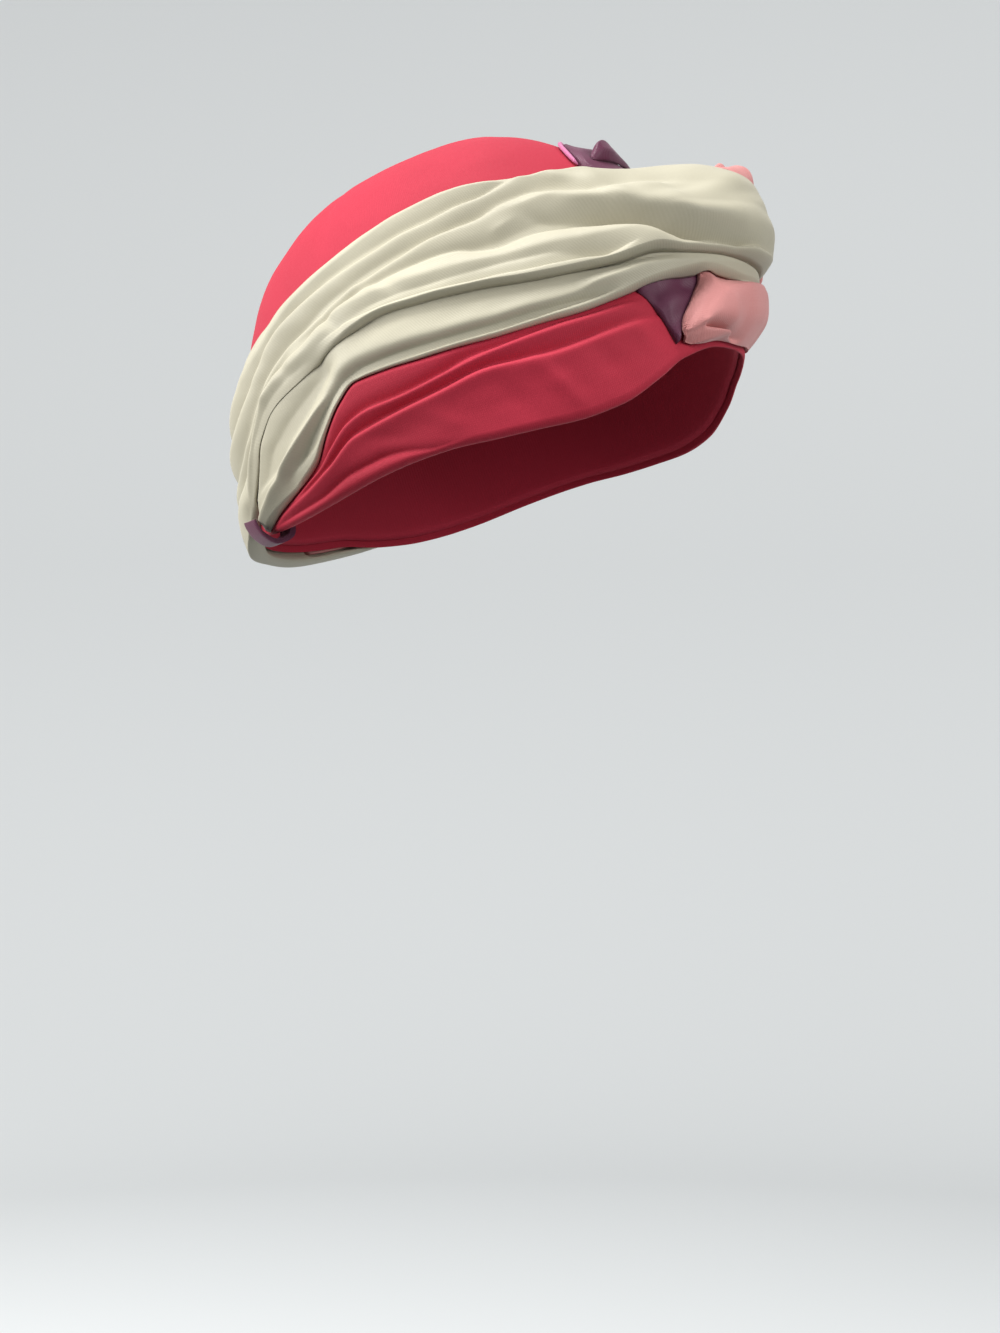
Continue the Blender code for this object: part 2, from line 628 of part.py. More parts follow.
def make_crown():
    """The cap: a shell from just above the band's rim to the pole, with its outer face on the form."""
    azimuth = stations("crown")
    rim = brow_lines(azimuth)["rim"] + CROWN_FOOT
    pole = np.full_like(rim, 90.0)
    outer, inner = inner_face(pole, rim, 10, 0.0), inner_face(pole, rim, 10, -CAP_WALL)
    lofted("crown", azimuth, closed_outline(outer, inner), CORAL, closed=True, from_pole=True)


def make_brow_band(cover):
    """The pleated ring: two ridges under two grooves, and a lower edge that turns in to the head."""
    azimuth = stations("brow_band")
    lines = brow_lines(azimuth)
    right, left = PLEATS_START
    loose = step_between(azimuth, *right) + step_between(azimuth, *left)
    loose = loose * step_between(np.abs(azimuth), *PLEATS_END)
    foot = wrap_foot(azimuth)
    corners = []
    for start, end, part, share in BROW_SECTION:
        at = between(lines, start, end, part)
        corners.append((at, GAP + CLOTH + BROW_PLEAT * share * loose * step_between(at, foot, foot - 2.0)))
    outer = curve_through(section(*corners), 2)
    inner = inner_face(lines["top"], lines["rim"], 4)
    lofted("brow_band", azimuth, closed_outline(outer, inner), CORAL, closed=True)
    whole = np.concatenate([azimuth, azimuth[:1] + 360.0])
    return heaped(cover, whole, np.concatenate([outer, outer[:1]]))


def make_plum_fold(cover):
    """The plum edge beside the roll, from under the sage sash down to a point."""
    azimuth = np.array([row[0] for row in PLUM_FOLD_ROWS], float)
    top, foot, full = rows_at(PLUM_FOLD_ROWS, azimuth)
    lines = {"top": top, "foot": foot}
    corners = [(top, GAP + CLOTH)]
    for start, end, part, share in PLUM_FOLD_SECTION:
        corners.append((between(lines, start, end, part), share * full))
    outer, inner, cover = laid(azimuth, section(*corners), inner_face(top, foot, 5), cover)
    lofted("plum_fold", azimuth, closed_outline(outer, inner), PLUM)
    return cover


def make_rose_strand(cover):
    """The gathered strand: flat under the sashes, then a padded roll that turns under at the brow."""
    azimuth = np.array([row[0] for row in STRAND_ROWS], float)
    azimuth = np.sort(np.concatenate([azimuth, 0.5 * (azimuth[1:] + azimuth[:-1])]))
    top, crest, bottom, lift = rows_at(STRAND_ROWS, azimuth)
    shoulder = np.minimum(wrap_foot(azimuth) + 1.0, 0.5 * (top + crest))
    middle = 0.5 * (top + shoulder)
    lines = {"crest": crest, "bottom": bottom}

    def under_sash(latitude):
        return np.minimum(2 * CLOTH + knot(STRAND_SWELL, azimuth, latitude), lift)

    corners = section(
        (top, 2 * CLOTH + 0 * top),
        (middle, 2 * CLOTH + knot(STRAND_SWELL, azimuth, middle)),
        (shoulder, under_sash(shoulder)),
        (0.4 * shoulder + 0.6 * crest, 0.3 * under_sash(shoulder) + 0.7 * lift),
        *((between(lines, start, end, part), share * lift) for start, end, part, share in ROLL_SECTION),
    )
    outer, inner, cover = laid(azimuth, corners, inner_face(top, bottom + 0.3, 6), cover)
    lofted("rose_strand", azimuth, closed_outline(outer, inner), ROSE)
    return cover


def make_lower_wrap(name, rows, upper_rows, cloth, cover):
    """A wound layer with a shelf just below the layer over it, a broad fold and a thin lip along its foot."""
    azimuth = stations(name)
    top, ridge, groove, foot = rows_at(rows, azimuth)
    hidden = top - ridge
    lip = np.clip(rows_at(upper_rows, azimuth)[-1] - 0.6, ridge + 0.3 * hidden, ridge + 0.8 * hidden)
    lines = {"top": top, "lip": lip, "ridge": ridge, "groove": groove, "foot": foot}
    spread = np.clip((top - foot) / LOWER_FULL_WIDTH, LOWER_LEAST_SHARE, 1.0)
    resting = 2 * GAP + CLOTH + CLOTH * over_strand(azimuth)
    corners = []
    for start, end, part, at_knot, aside, climb in LOWER_SECTION:
        latitude = between(lines, start, end, part)
        height = at_knot + (aside - at_knot) * at_side(azimuth)
        standing = FLAT_LIFT + (height - FLAT_LIFT) * spread
        corners.append((latitude, resting + standing + climb * knot(SAGE_SWELL, azimuth, latitude)))
    inner = inner_face(top, foot + 0.1 * (groove - foot), 5)
    outer, inner, cover = laid(azimuth, section(*corners), inner, cover)
    lofted(name, azimuth, closed_outline(outer, inner), cloth)
    return cover


def make_plum_border(cover):
    """The border lies on the cap at its hem and climbs to the top of the knot at its foot."""
    azimuth = stations("plum_border")
    hem, middle, foot, climb = rows_at(BORDER_ROWS, azimuth)
    lines = {"hem": hem, "middle": middle, "foot": foot}
    corners = [(hem, GAP + CLOTH)]
    for start, end, part, fullness in BORDER_SECTION:
        latitude = between(lines, start, end, part)
        climbing = climb * knot(ROSE_SWELL, azimuth, latitude)
        corners.append((latitude, GAP + CLOTH + fullness * BORDER_FULLNESS + climbing))
    inner = inner_face(hem, foot, 6)
    inner[..., 1] += BORDER_HOLLOW * climb[:, None] * knot(ROSE_SWELL, azimuth[:, None], inner[..., 0])
    outer, inner, cover = laid(azimuth, section(*corners), inner, cover)
    lofted("plum_border", azimuth, closed_outline(outer, inner), PLUM)
    return cover, heaped(bare_form(), azimuth, outer)


def upper_wrap(azimuth, rows, resting, shape_lift, cover):
    """The faces of a wound layer with three rounded folds, whose lower lip hangs over the layer beneath."""
    lines = dict(zip(("top", "ridge_1", "ridge_2", "groove_2", "ridge_3", "lip"), rows_at(rows, azimuth)))
    top, ridge_3, lip = lines["top"], lines["ridge_3"], lines["lip"]
    spread = np.clip((top - lip) / UPPER_FULL_WIDTH, UPPER_LEAST_SHARE, 1.0)
    corners = []
    for start, end, part, at_knot, aside in UPPER_SECTION:
        latitude = between(lines, start, end, part)
        height = at_knot + (aside - at_knot) * at_side(azimuth)
        standing = FLAT_LIFT + (height - FLAT_LIFT) * spread
        corners.append((latitude, resting(azimuth, latitude) + standing + shape_lift(azimuth, latitude)))
    inner = inner_face(top, lip + 0.25 * (ridge_3 - lip), 7)
    return laid(azimuth, section(*corners), inner, cover)


def lies_on(rows, azimuth, latitude):
    """1 on the covered top of a lower layer, 0 above it."""
    top = rows_at(rows, azimuth)[0]
    return step_between(latitude, top + 5.0, top + 1.0)


def sage_resting(azimuth, latitude):
    """What lies beneath the sage upper layer: the cap, the lower layer, and behind, the rose sash's tail."""
    behind = step_between(azimuth, *SAGE_PAST_LOWER)
    on_lower = ON_LOWER * lies_on(SAGE_LOWER_ROWS, azimuth, latitude) * (1 - behind)
    on_tail = step_between(azimuth, *SAGE_ON_TAIL)
    on_band = CLOTH * step_between(latitude, 9.0, 5.0) * behind * (1 - on_tail)
    return 2 * GAP + on_lower + on_band + ON_TAIL * on_tail + CLOTH * over_strand(azimuth)


def sage_lift(azimuth, latitude):
    """The knot's lift of the sage upper layer, less where it turns under."""
    ending = step_between(azimuth, *SAGE_TURNS_UNDER)
    full, less = knot(SAGE_SWELL, azimuth, latitude), knot(SAGE_END_SWELL, azimuth, latitude)
    return (1 - ending) * full + ending * less


def rose_resting(azimuth, latitude):
    """What lies beneath the rose upper layer: the border's foot, the lower layer, and in front the sage."""
    on_lower = lies_on(ROSE_LOWER_ROWS, azimuth, latitude) * step_between(azimuth, *ROSE_PAST_LOWER)
    return 3 * GAP + CLOTH + ON_LOWER * on_lower


def rose_lift(azimuth, latitude):
    return knot(ROSE_SWELL, azimuth, latitude)


def make_upper_wraps(cover):
    """The sashes' outer layers: the sage lies on the rose sash's tail, and the rose crosses the sage."""
    tail, front = stations("rose_tail"), stations("rose_front")
    tail_outer, tail_inner, behind = upper_wrap(tail, ROSE_UPPER_ROWS, rose_resting, rose_lift, cover)
    azimuth = stations("sage_upper_wrap")
    outer, inner, ahead = upper_wrap(azimuth, SAGE_UPPER_ROWS, sage_resting, sage_lift, behind)
    lofted("sage_upper_wrap", azimuth, closed_outline(outer, inner), SAGE)
    front_outer, front_inner, cover = upper_wrap(front, ROSE_UPPER_ROWS, rose_resting, rose_lift, ahead)
    outer = np.concatenate([tail_outer, front_outer])
    inner = np.concatenate([tail_inner, front_inner])
    lofted("rose_upper_wrap", np.concatenate([tail, front]), closed_outline(outer, inner), ROSE)


def make_plum_pleat(cover):
    """A standing pleat on the border, beside the knot."""
    azimuth = stations("plum_pleat")
    top, foot, height = rows_at(PLEAT_ROWS, azimuth)
    corners = []
    for part, share in PLEAT_SECTION:
        latitude = part * top + (1 - part) * foot
        corners.append((latitude, height_at(cover, azimuth, latitude) + GAP + share * height))
    outer, inner, cover = laid(azimuth, section(*corners), inner_face(top, foot, 4), cover)
    lofted("plum_pleat", azimuth, closed_outline(outer, inner), PLUM)


def make_border_hem():
    """The rolled hem: a thin tube just outside the border's edge, from the left of the nape to the knot."""
    azimuth = stations("border_hem")
    hem = rows_at(BORDER_ROWS, azimuth)[0]
    along = np.stack([azimuth * np.cos(np.radians(hem)), hem], axis=-1)
    heading = np.gradient(along, axis=0)
    heading /= np.linalg.norm(heading, axis=1)[:, None]
    clear = np.degrees((HEM_RADIUS + GAP) / form_radius(azimuth, hem))
    route = along + clear[:, None] * np.stack([-heading[:, 1], heading[:, 0]], axis=-1)
    at = route[:, 0] / np.cos(np.radians(route[:, 1]))
    points = placed(at, route[:, 1], GAP + HEM_RADIUS)
    curve = bpy.data.curves.new("border_hem", "CURVE")
    curve.dimensions = "3D"
    curve.bevel_depth = HEM_RADIUS * METRES
    curve.bevel_resolution = 0
    curve.use_fill_caps = True
    spline = curve.splines.new("POLY")
    spline.points.add(len(points) - 1)
    for point, place in zip(spline.points, points):
        point.co = (*place, 1.0)
    curve.materials.append(cloth_material(VIOLET))
    bpy.context.scene.collection.objects.link(bpy.data.objects.new("border_hem", curve))


def make_nape_loop():
    """A band that hooks over the gathered end of the lower layer and round the rim to the inside."""
    azimuth = np.linspace(*LOOP_AZIMUTHS, LOOP_SECTIONS)
    rim = brow_lines(azimuth)["rim"]
    ring = section(*((rim + above, lift) for above, lift in LOOP_OUTER + LOOP_INNER))
    lofted("nape_loop", azimuth, ring, PLUM)


def main():
    for leftover in list(bpy.data.objects):
        bpy.data.objects.remove(leftover)
    make_crown()
    cover = make_brow_band(bare_form())
    cover = make_plum_fold(cover)
    cover = make_rose_strand(cover)
    cover = make_lower_wrap("sage_lower_wrap", SAGE_LOWER_ROWS, SAGE_UPPER_ROWS, SAGE, cover)
    cover = make_lower_wrap("rose_lower_wrap", ROSE_LOWER_ROWS, ROSE_UPPER_ROWS, ROSE, cover)
    cover, border = make_plum_border(cover)
    make_upper_wraps(cover)
    make_plum_pleat(border)
    make_border_hem()
    make_nape_loop()


main()
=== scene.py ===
"""Looks of the knotted turban headwrap: its cloths, folds and weaves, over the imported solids.

The front of the wearer is -Y, the wearer's right is -X, and +Z is up. Tables are in millimetres and degrees: an
azimuth (0 at the front, 90 at the wearer's right, 180 at the back), a latitude above the tilted plane of the rim,
and a lift above the cap's outer face.
"""

import math
from functools import partial

import bmesh
import bpy
import numpy as np
from bpy.props import FloatProperty, FloatVectorProperty, PointerProperty
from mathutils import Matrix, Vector


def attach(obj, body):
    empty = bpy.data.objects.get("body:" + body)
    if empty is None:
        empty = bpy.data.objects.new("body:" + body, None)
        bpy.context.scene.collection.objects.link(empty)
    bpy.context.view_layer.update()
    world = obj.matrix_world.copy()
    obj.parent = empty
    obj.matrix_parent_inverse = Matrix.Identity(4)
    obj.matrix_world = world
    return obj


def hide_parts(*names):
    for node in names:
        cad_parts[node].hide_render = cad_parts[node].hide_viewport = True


bl_info = {
    "name": "Knotted turban headwrap",
    "version": (1, 0, 0),
    "blender": (4, 5, 0),
    "location": "3D View > Sidebar > Headwrap",
    "description": "Builds the cloths of a knotted turban headwrap and a plain studio round it",
    "category": "Object",
}

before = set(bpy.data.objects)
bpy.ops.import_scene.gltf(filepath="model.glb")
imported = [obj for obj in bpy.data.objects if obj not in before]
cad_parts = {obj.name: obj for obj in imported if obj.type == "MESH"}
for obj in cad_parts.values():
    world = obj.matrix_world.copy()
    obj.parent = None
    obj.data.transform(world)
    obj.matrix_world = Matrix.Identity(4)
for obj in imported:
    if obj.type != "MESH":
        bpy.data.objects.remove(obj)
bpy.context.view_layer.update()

MM = 1000.0
MM_PER_DEGREE = 1.85

# Form of the cap

PLAN_POWER = 2.1
SIDE_POWER = 2.2

# Where the form departs from an even egg: azimuth, latitude, half width, half height, rise.
FORM_SWELLS = (
    (10, 62, 45, 18, 2.5), (180, 37, 55, 15, -4.5),
)

# How the knot lifts each cloth: rise, azimuth and latitude of its middle, reach to either side, up and down.
KNOT_UNDER = (17.5, -4, 21, 26, 14, 15)
KNOT_OF_SAGE = (29.2, -4, 21, 26, 14, 15)
KNOT_OF_ROSE = (29.5, -14, 26, 28, 10, 11)

# Edges and lines of each cloth, from the top down

# Brow band: azimuth, hidden top edge, its two pleat grooves, the bend of its lower edge, and its rim.
BROW_ROWS = (
    (0, 12, 9, 4, 0, -3.5), (12, 12, 8.5, 4, 0, -3.5), (24, 13, 9, 4.5, -1.5, -5.5), (32, 13.5, 10, 5, -4, -9),
    (43, 14, 10, 4, -8, -13), (53, 15, 10, 4, -9.5, -14), (63, 16, 10, 4.2, -9.8, -13.3),
    (73, 17.5, 10, 5.6, -9.4, -12.3), (86, 19, 9.8, 5.2, -8, -10.4), (100, 20, 9, 4.8, -5, -9.3),
    (110, 17, 7.6, 3.4, -4, -9), (118, 12, 4, 0.6, -4.2, -9), (127, 7, 0, -1.6, -5.4, -8.7),
    (137, 4, -2.2, -3.4, -5.2, -7.8), (147, 3, -3, -3.8, -4.6, -6), (160, 4, 1.5, 0, -1.6, -3.2),
    (180, 4, 1.5, 0, -1.6, -3),
)

# Sage sash, upper layer: azimuth, top edge, the shoulder where it has come up to its full height, lower lip.
SAGE_UPPER_ROWS = (
    (-26, 16, 15.2, 11), (-20, 19.5, 18.2, 10.8), (-14, 23, 21.8, 10.4), (-8, 26.8, 25.4, 10.2), (0, 31, 29, 10),
    (6, 33.2, 30.8, 10.6), (13, 36, 33, 12), (21, 39.4, 36.2, 13.8), (28, 42.2, 39.4, 16.2), (35, 44.4, 41.8, 16.8),
    (43, 46.6, 44, 17.9), (53, 49.4, 47, 19.8), (65, 51.6, 48.8, 22.9), (80, 52.2, 49.2, 25.9),
    (92, 51.2, 48, 27.4), (100, 50, 46.8, 26.5), (108, 48.6, 45.4, 25.2), (120, 46, 42.4, 21.8),
    (130, 43.2, 39, 19), (137, 40.6, 35.6, 14.4), (143, 38.6, 31.6, 7.4), (149, 36.4, 27.6, 1),
    (156, 33.5, 23.6, -3.6), (168, 29, 19.8, -5), (185, 23, 15.6, -5), (200, 15, 10.2, -4.8), (214, 7, 4.6, -4.6),
    (226, 0, -0.8, -4.4),
)

# Sage sash, lower layer: azimuth, hidden top edge, its ridge, the groove under that, its foot.
SAGE_LOWER_ROWS = (
    (-12, 11.6, 9.9, 9.2, 8.4), (-4, 12, 9.8, 8.9, 7.9), (3, 13, 10, 9, 7.9), (9, 14, 11, 10, 8.8),
    (18, 16.5, 13, 12, 10.6), (28, 19.5, 15, 13.2, 10.8), (37, 22, 15.6, 12.8, 10), (44, 24, 15.8, 13, 9.6),
    (55, 26, 16.6, 14, 10.4), (65, 28, 17.6, 14.8, 11.3), (75, 29.5, 19, 16, 12.8), (85, 31, 21, 17.2, 14),
    (95, 31.5, 23, 19, 15.3), (104, 31, 23, 19.2, 15.8), (110, 29.5, 20.8, 17, 12.8), (116, 27.5, 18, 13.6, 7.6),
    (122, 26.5, 14.8, 9.4, 1.6), (131, 22, 9, 4, -2), (138, 15.5, 4.2, 0.8, -3.5), (144, 8, 0.4, -1.6, -4.6),
    (148.5, 1.4, -1.8, -3, -5),
)

# Rose sash, upper layer: the same lines as the sage one's, on the wearer's left.
ROSE_UPPER_ROWS = (
    (-168, 9, 7, -3.4), (-155, 19, 15, -3.2), (-147, 26, 21, 0), (-138, 31, 26, 8), (-128, 34.5, 29.5, 13.5),
    (-112, 38, 33.5, 20), (-95, 40, 35.5, 23.5), (-78, 40.5, 35.5, 23), (-62, 39.5, 34.5, 20.5),
    (-48, 37, 33, 17.5), (-36, 34, 31, 14), (-26, 32, 29.5, 11), (-20, 31.5, 29, 9.4), (-15.5, 31, 28.8, 9.2),
    (-13, 30.8, 28.8, 15.5), (-10, 30.6, 29, 21.5), (-7, 30.2, 29.2, 23), (-4, 29.6, 28.8, 25.4),
)

# Rose sash, lower layer: the same lines as the sage one's.
ROSE_LOWER_ROWS = (
    (-152, 0, -1.4, -2.4, -3.6), (-145, 4, 0, -1.8, -4.4), (-136, 12, 5, 1.6, -3.2), (-126, 18.5, 11, 6.5, 0.5),
    (-114, 24, 17, 13, 8), (-98, 27.5, 20, 16.5, 13), (-80, 27.5, 19.5, 16, 12.6), (-62, 25, 17, 14, 10.8),
    (-48, 21.5, 15, 12.6, 9.8), (-36, 18, 13.2, 11.4, 9.4), (-26, 14.5, 11.6, 10.4, 9), (-18, 12, 10.6, 9.9, 9),
)

# Plum border: azimuth, hemmed edge, middle, foot, and the share of the rose swell that it climbs.
BORDER_ROWS = (
    (-160, 24, 20, 15, 0), (-148, 31.5, 28, 23.5, 0), (-135, 38.5, 34.5, 30, 0), (-120, 43.5, 39, 34, 0),
    (-100, 47.5, 43, 37.5, 0), (-80, 50, 44.5, 38.5, 0.2), (-62, 50.5, 44, 37.8, 0.8), (-45, 50.5, 42.5, 34.5, 1),
    (-32, 51, 40.5, 31.4, 1), (-20, 52.5, 39, 30, 1.15), (-10, 55, 38, 29.4, 1.15), (0, 55.5, 38, 29.4, 0.55),
    (8, 54, 39, 31.8, 0.45), (13, 52, 40.5, 33, 0.1), (16.5, 49, 41, 34.2, 0), (18.5, 46, 40.5, 35, 0),
    (19.6, 43, 40, 36, 0),
)

# Rose roll under the knot: azimuth, hidden top, crest, edge that curls under, lowest fold, and the crest's lift.
ROLL_ROWS = (
    (-36, 14, 9, 7.8, 7.6, 5), (-30, 19, 8, 4.8, 4.6, 8.6), (-24, 22, 7.4, 1.6, 1.4, 12.8),
    (-18, 24.5, 6.8, -0.4, -0.6, 16), (-12, 26, 6.5, -1.6, -1.8, 18.2), (-4, 27.5, 6.4, -2.4, -2.6, 19.2),
    (4, 29, 6, -3, -3.2, 18.8), (9, 28.5, 5.4, -2.6, -3, 17.8), (12, 24, 5, -2.2, -2.8, 17),
    (14.2, 14.4, 4.6, -1.9, -2.8, 16.4), (16.4, 9.4, 3.9, -1.6, -3, 16), (18.2, 7.6, 2.9, -1.4, -3.2, 15.6),
    (20.2, 6, 1.9, -1.1, -3.3, 15), (22.2, 4.2, 1, -0.9, -3.2, 14.4), (24, 2.4, 0.2, -1.4, -2.7, 13.6),
    (25.2, 0.6, -0.5, -1.3, -2, 12.8), (25.8, -0.8, -0.9, -1.1, -1.3, 12.2),
)

# The roll's section from its crest down: shares of crest, curled edge and lowest fold in its latitude, the share of
# the crest's lift, and how much more of it the free lobe has.
ROLL_SECTION = (
    (1, 0, 0, 1, 0), (0.5, 0.5, 0, 0.8, 0.17), (0.2, 0.8, 0, 0.48, 0.42), (0, 1, 0, 0.2, 0.64),
    (0, 0.5, 0.5, 0.14, 0.62), (0, 0, 1, 0.1, 0.42),
)

# Plum gusset beside the roll: azimuth, hidden top, foot, and its fullest lift.
GUSSET_ROWS = (
    (14, 14, 9.4, 8), (17, 14, 7, 8), (20, 14, 4.6, 7.6), (23, 14, 1.8, 7), (25.4, 14, -1, 6.4),
    (26.3, 13.8, -2.6, 6), (27.4, 13.4, 1.4, 5.6), (29, 13, 6.4, 5), (31, 12.6, 10.2, 4.6),
)

# Standing pleat in the border: azimuth, upper edge, lower edge, and how far it stands up.
PLEAT_ROWS = (
    (-26, 41.9, 40.9, 0.4), (-18, 43.6, 42, 0.8), (-8, 45.6, 43, 1.6), (2, 46.8, 43.6, 3), (8, 47, 43.6, 4.4),
    (11, 46.6, 43.8, 4.2), (13.5, 45.6, 44, 1.6), (15, 44.9, 44.2, 0.5),
)

# Loop at the nape: the azimuths that it spans, then how far each point is above the rim, and its lift.
LOOP_AZIMUTHS = (144.0, 149.5)
LOOP_OUTER = ((4.6, 10.4), (3.0, 10.2), (0.4, 8.6), (-2.2, 4.4), (-2.2, -2.0), (0.6, -4.6), (5.6, -4.6))
LOOP_INNER = ((5.6, -2.9), (1.2, -2.9), (-1.0, -1.6), (-1.0, 3.8), (1.2, 7.4), (3.0, 8.7), (4.6, 9.0))

# Folds. Each row: azimuth, latitude, height, and how far the fold dies away above and below its line.

SAGE_UPPER_FOLDS = {
    "first groove": (
        (42, 45, 0, 3, 1), (49, 45, -2.3, 3, 1), (56, 44.8, -3.8, 3.6, 0.9), (64, 45.4, -4.3, 4, 0.9),
        (71, 45.4, -4.3, 4.4, 0.9), (80, 45.6, -4.3, 4.6, 0.9), (89, 45, -4.3, 4.6, 0.9),
        (98, 44.2, -4.3, 4.6, 0.9), (107, 43, -4.3, 4.6, 0.9), (117, 40.8, -4.3, 4.6, 0.9),
        (127, 38.2, -4.3, 4.6, 1), (134, 35.4, -4.3, 4.6, 1.2), (140, 30.6, -4.3, 4.6, 1.3),
        (147, 24.4, -4.3, 4.6, 1.4), (156, 19.6, -4.3, 5, 1.5), (168, 17, -4.3, 5, 1.6), (190, 12.4, -3.8, 5, 1.6),
        (210, 6, -2.6, 3, 1.6), (226, -1.2, 0, 3, 1.6),
    ),
    "second groove": (
        (4, 21, 0, 5, 5), (10, 24.6, -1.7, 5, 4.4), (15, 28.2, -2.6, 5, 4), (19, 30.4, -2.9, 5, 3),
        (23, 32, -2.9, 5, 2.4), (28.8, 33.2, -3.2, 4.4, 2.2), (34, 36.2, -3.5, 4, 2.2), (42.4, 40.6, -3.8, 4, 2.4),
        (50.3, 41, -4.1, 4, 1.6), (58.7, 39.9, -4.3, 4, 1), (65.5, 40.4, -4.3, 4.4, 0.9),
        (73, 40.8, -4.3, 4.4, 0.9), (80.7, 40.5, -4.3, 4.4, 0.9), (89, 40.1, -4.3, 4.6, 0.9),
        (97.3, 39.2, -4.3, 4.6, 0.9), (106.2, 37.6, -4.3, 4.6, 1), (116, 34.7, -4.3, 4.8, 1.1),
        (126, 32, -4.3, 4.8, 1.2), (134, 28.2, -4.3, 4.6, 1.2), (140, 22.8, -4.3, 4.4, 1.2),
        (146, 16.8, -4.3, 4.4, 1.3), (153, 12.4, -4.3, 4.6, 1.4), (162, 10.2, -4.3, 4.6, 1.5),
        (180, 8.4, -4.1, 4.6, 1.6), (200, 5.2, -2.9, 4, 1.6), (222, -1.4, 0, 3, 1.6),
    ),
    "front groove": (
        (-6, 10.8, 0, 2, 1), (0, 11.4, -2.6, 3, 1), (4.6, 12.2, -4.2, 2.4, 1.1), (8, 12.6, -7.4, 2.4, 1.2),
        (11.1, 13.6, -9, 3.2, 1.9), (14.3, 14.6, -10.6, 3.2, 1.9), (17.2, 15.6, -12, 3.2, 1.9),
        (20.7, 17.3, -12.6, 3.2, 1.9), (23.2, 19.4, -12.4, 3.2, 1.9), (25.6, 21.7, -11.6, 3.2, 1.9),
        (28.5, 24.2, -10.6, 3.2, 1.9), (31.6, 26.4, -9.4, 3.2, 1.9), (37, 28.6, -7.4, 4.4, 1.6),
        (43, 30.6, -5.6, 5.4, 1.8), (49, 31.6, -5, 6.4, 2), (56, 31.8, -4.4, 5.6, 2.2), (61.5, 33, -4, 4.8, 2),
        (67.4, 35, -3.4, 3.6, 1.8), (75, 36.2, -3.2, 3.4, 1.8), (82.6, 36.8, -3.2, 3.8, 1.8),
        (90.5, 37, -3.2, 3.8, 2), (98.5, 36.2, -3.2, 3.8, 2), (108, 33.8, -3.4, 4.2, 2), (117, 30.2, -3.6, 4.6, 2),
        (128, 27, -4, 4.6, 1.8), (134, 23.6, -4.2, 4.2, 1.6), (140, 17.6, -4.2, 4, 1.4), (146, 11.4, -4.2, 4, 1.4),
        (153, 7, -4.2, 4.4, 1.4), (162, 4.8, -2.8, 4.6, 1.6), (180, 3.2, -2.6, 4.6, 1.6), (200, 1, -1.8, 4, 1.6),
        (222, -2.8, 0, 3, 1.6),
    ),
    "front ridge": (
        (0, 12.4, 0, 4, 2.4), (5.5, 13.6, 1, 4.6, 2.6), (11, 16, 3.2, 5, 2.8), (17.2, 18.6, 4.6, 6, 2.6),
        (19.6, 20.6, 5.4, 6, 2.6), (22.4, 22.6, 5.8, 6, 2.6), (25.4, 25, 5.8, 6, 2.6), (27.6, 27.6, 5.6, 6, 2.6),
        (30, 30, 4.2, 6, 2.6), (34.4, 32.8, 3.4, 6, 2.6), (40, 36.4, 2.4, 2.6, 5), (46, 37.4, 1.2, 2.4, 5),
        (54, 38, 0, 2.4, 5),
    ),
    "nape valley": (
        (102, 27.4, 0, 4, 6), (110, 25.6, -1.6, 4.6, 8), (119, 22.4, -3.4, 5.4, 8), (129, 19.2, -4.2, 5.6, 8),
        (137, 14.2, -4.2, 5, 8), (143, 8, -4, 4, 8), (148, 2.6, -3, 3, 6), (154, -2, 0, 3, 6),
    ),
    "side fold": (
        (48, 35.8, 0, 1.8, 3), (54, 35, 0.8, 1.8, 3), (58, 34.6, 0, 1.8, 3),
    ),
    "lip groove": (
        (30, 18.4, 0, 5, 0.8), (36, 18.6, -3.4, 6, 0.8), (41, 20, -4.8, 6.6, 0.8), (47.6, 21.4, -5, 7, 0.8),
        (53, 22.4, -4.8, 7, 0.8), (59, 23.8, -4.6, 6.4, 0.8), (65, 24.9, -4.2, 6, 0.8), (71, 26.2, -3.8, 5.4, 0.8),
        (78, 27.6, -3.4, 4.8, 0.8), (85, 28.6, -3.2, 4.4, 0.8), (92, 29.2, -2.8, 4.2, 0.8), (100, 29, -1.4, 4, 0.8),
        (112, 27, 0, 4, 0.8),
    ),
}

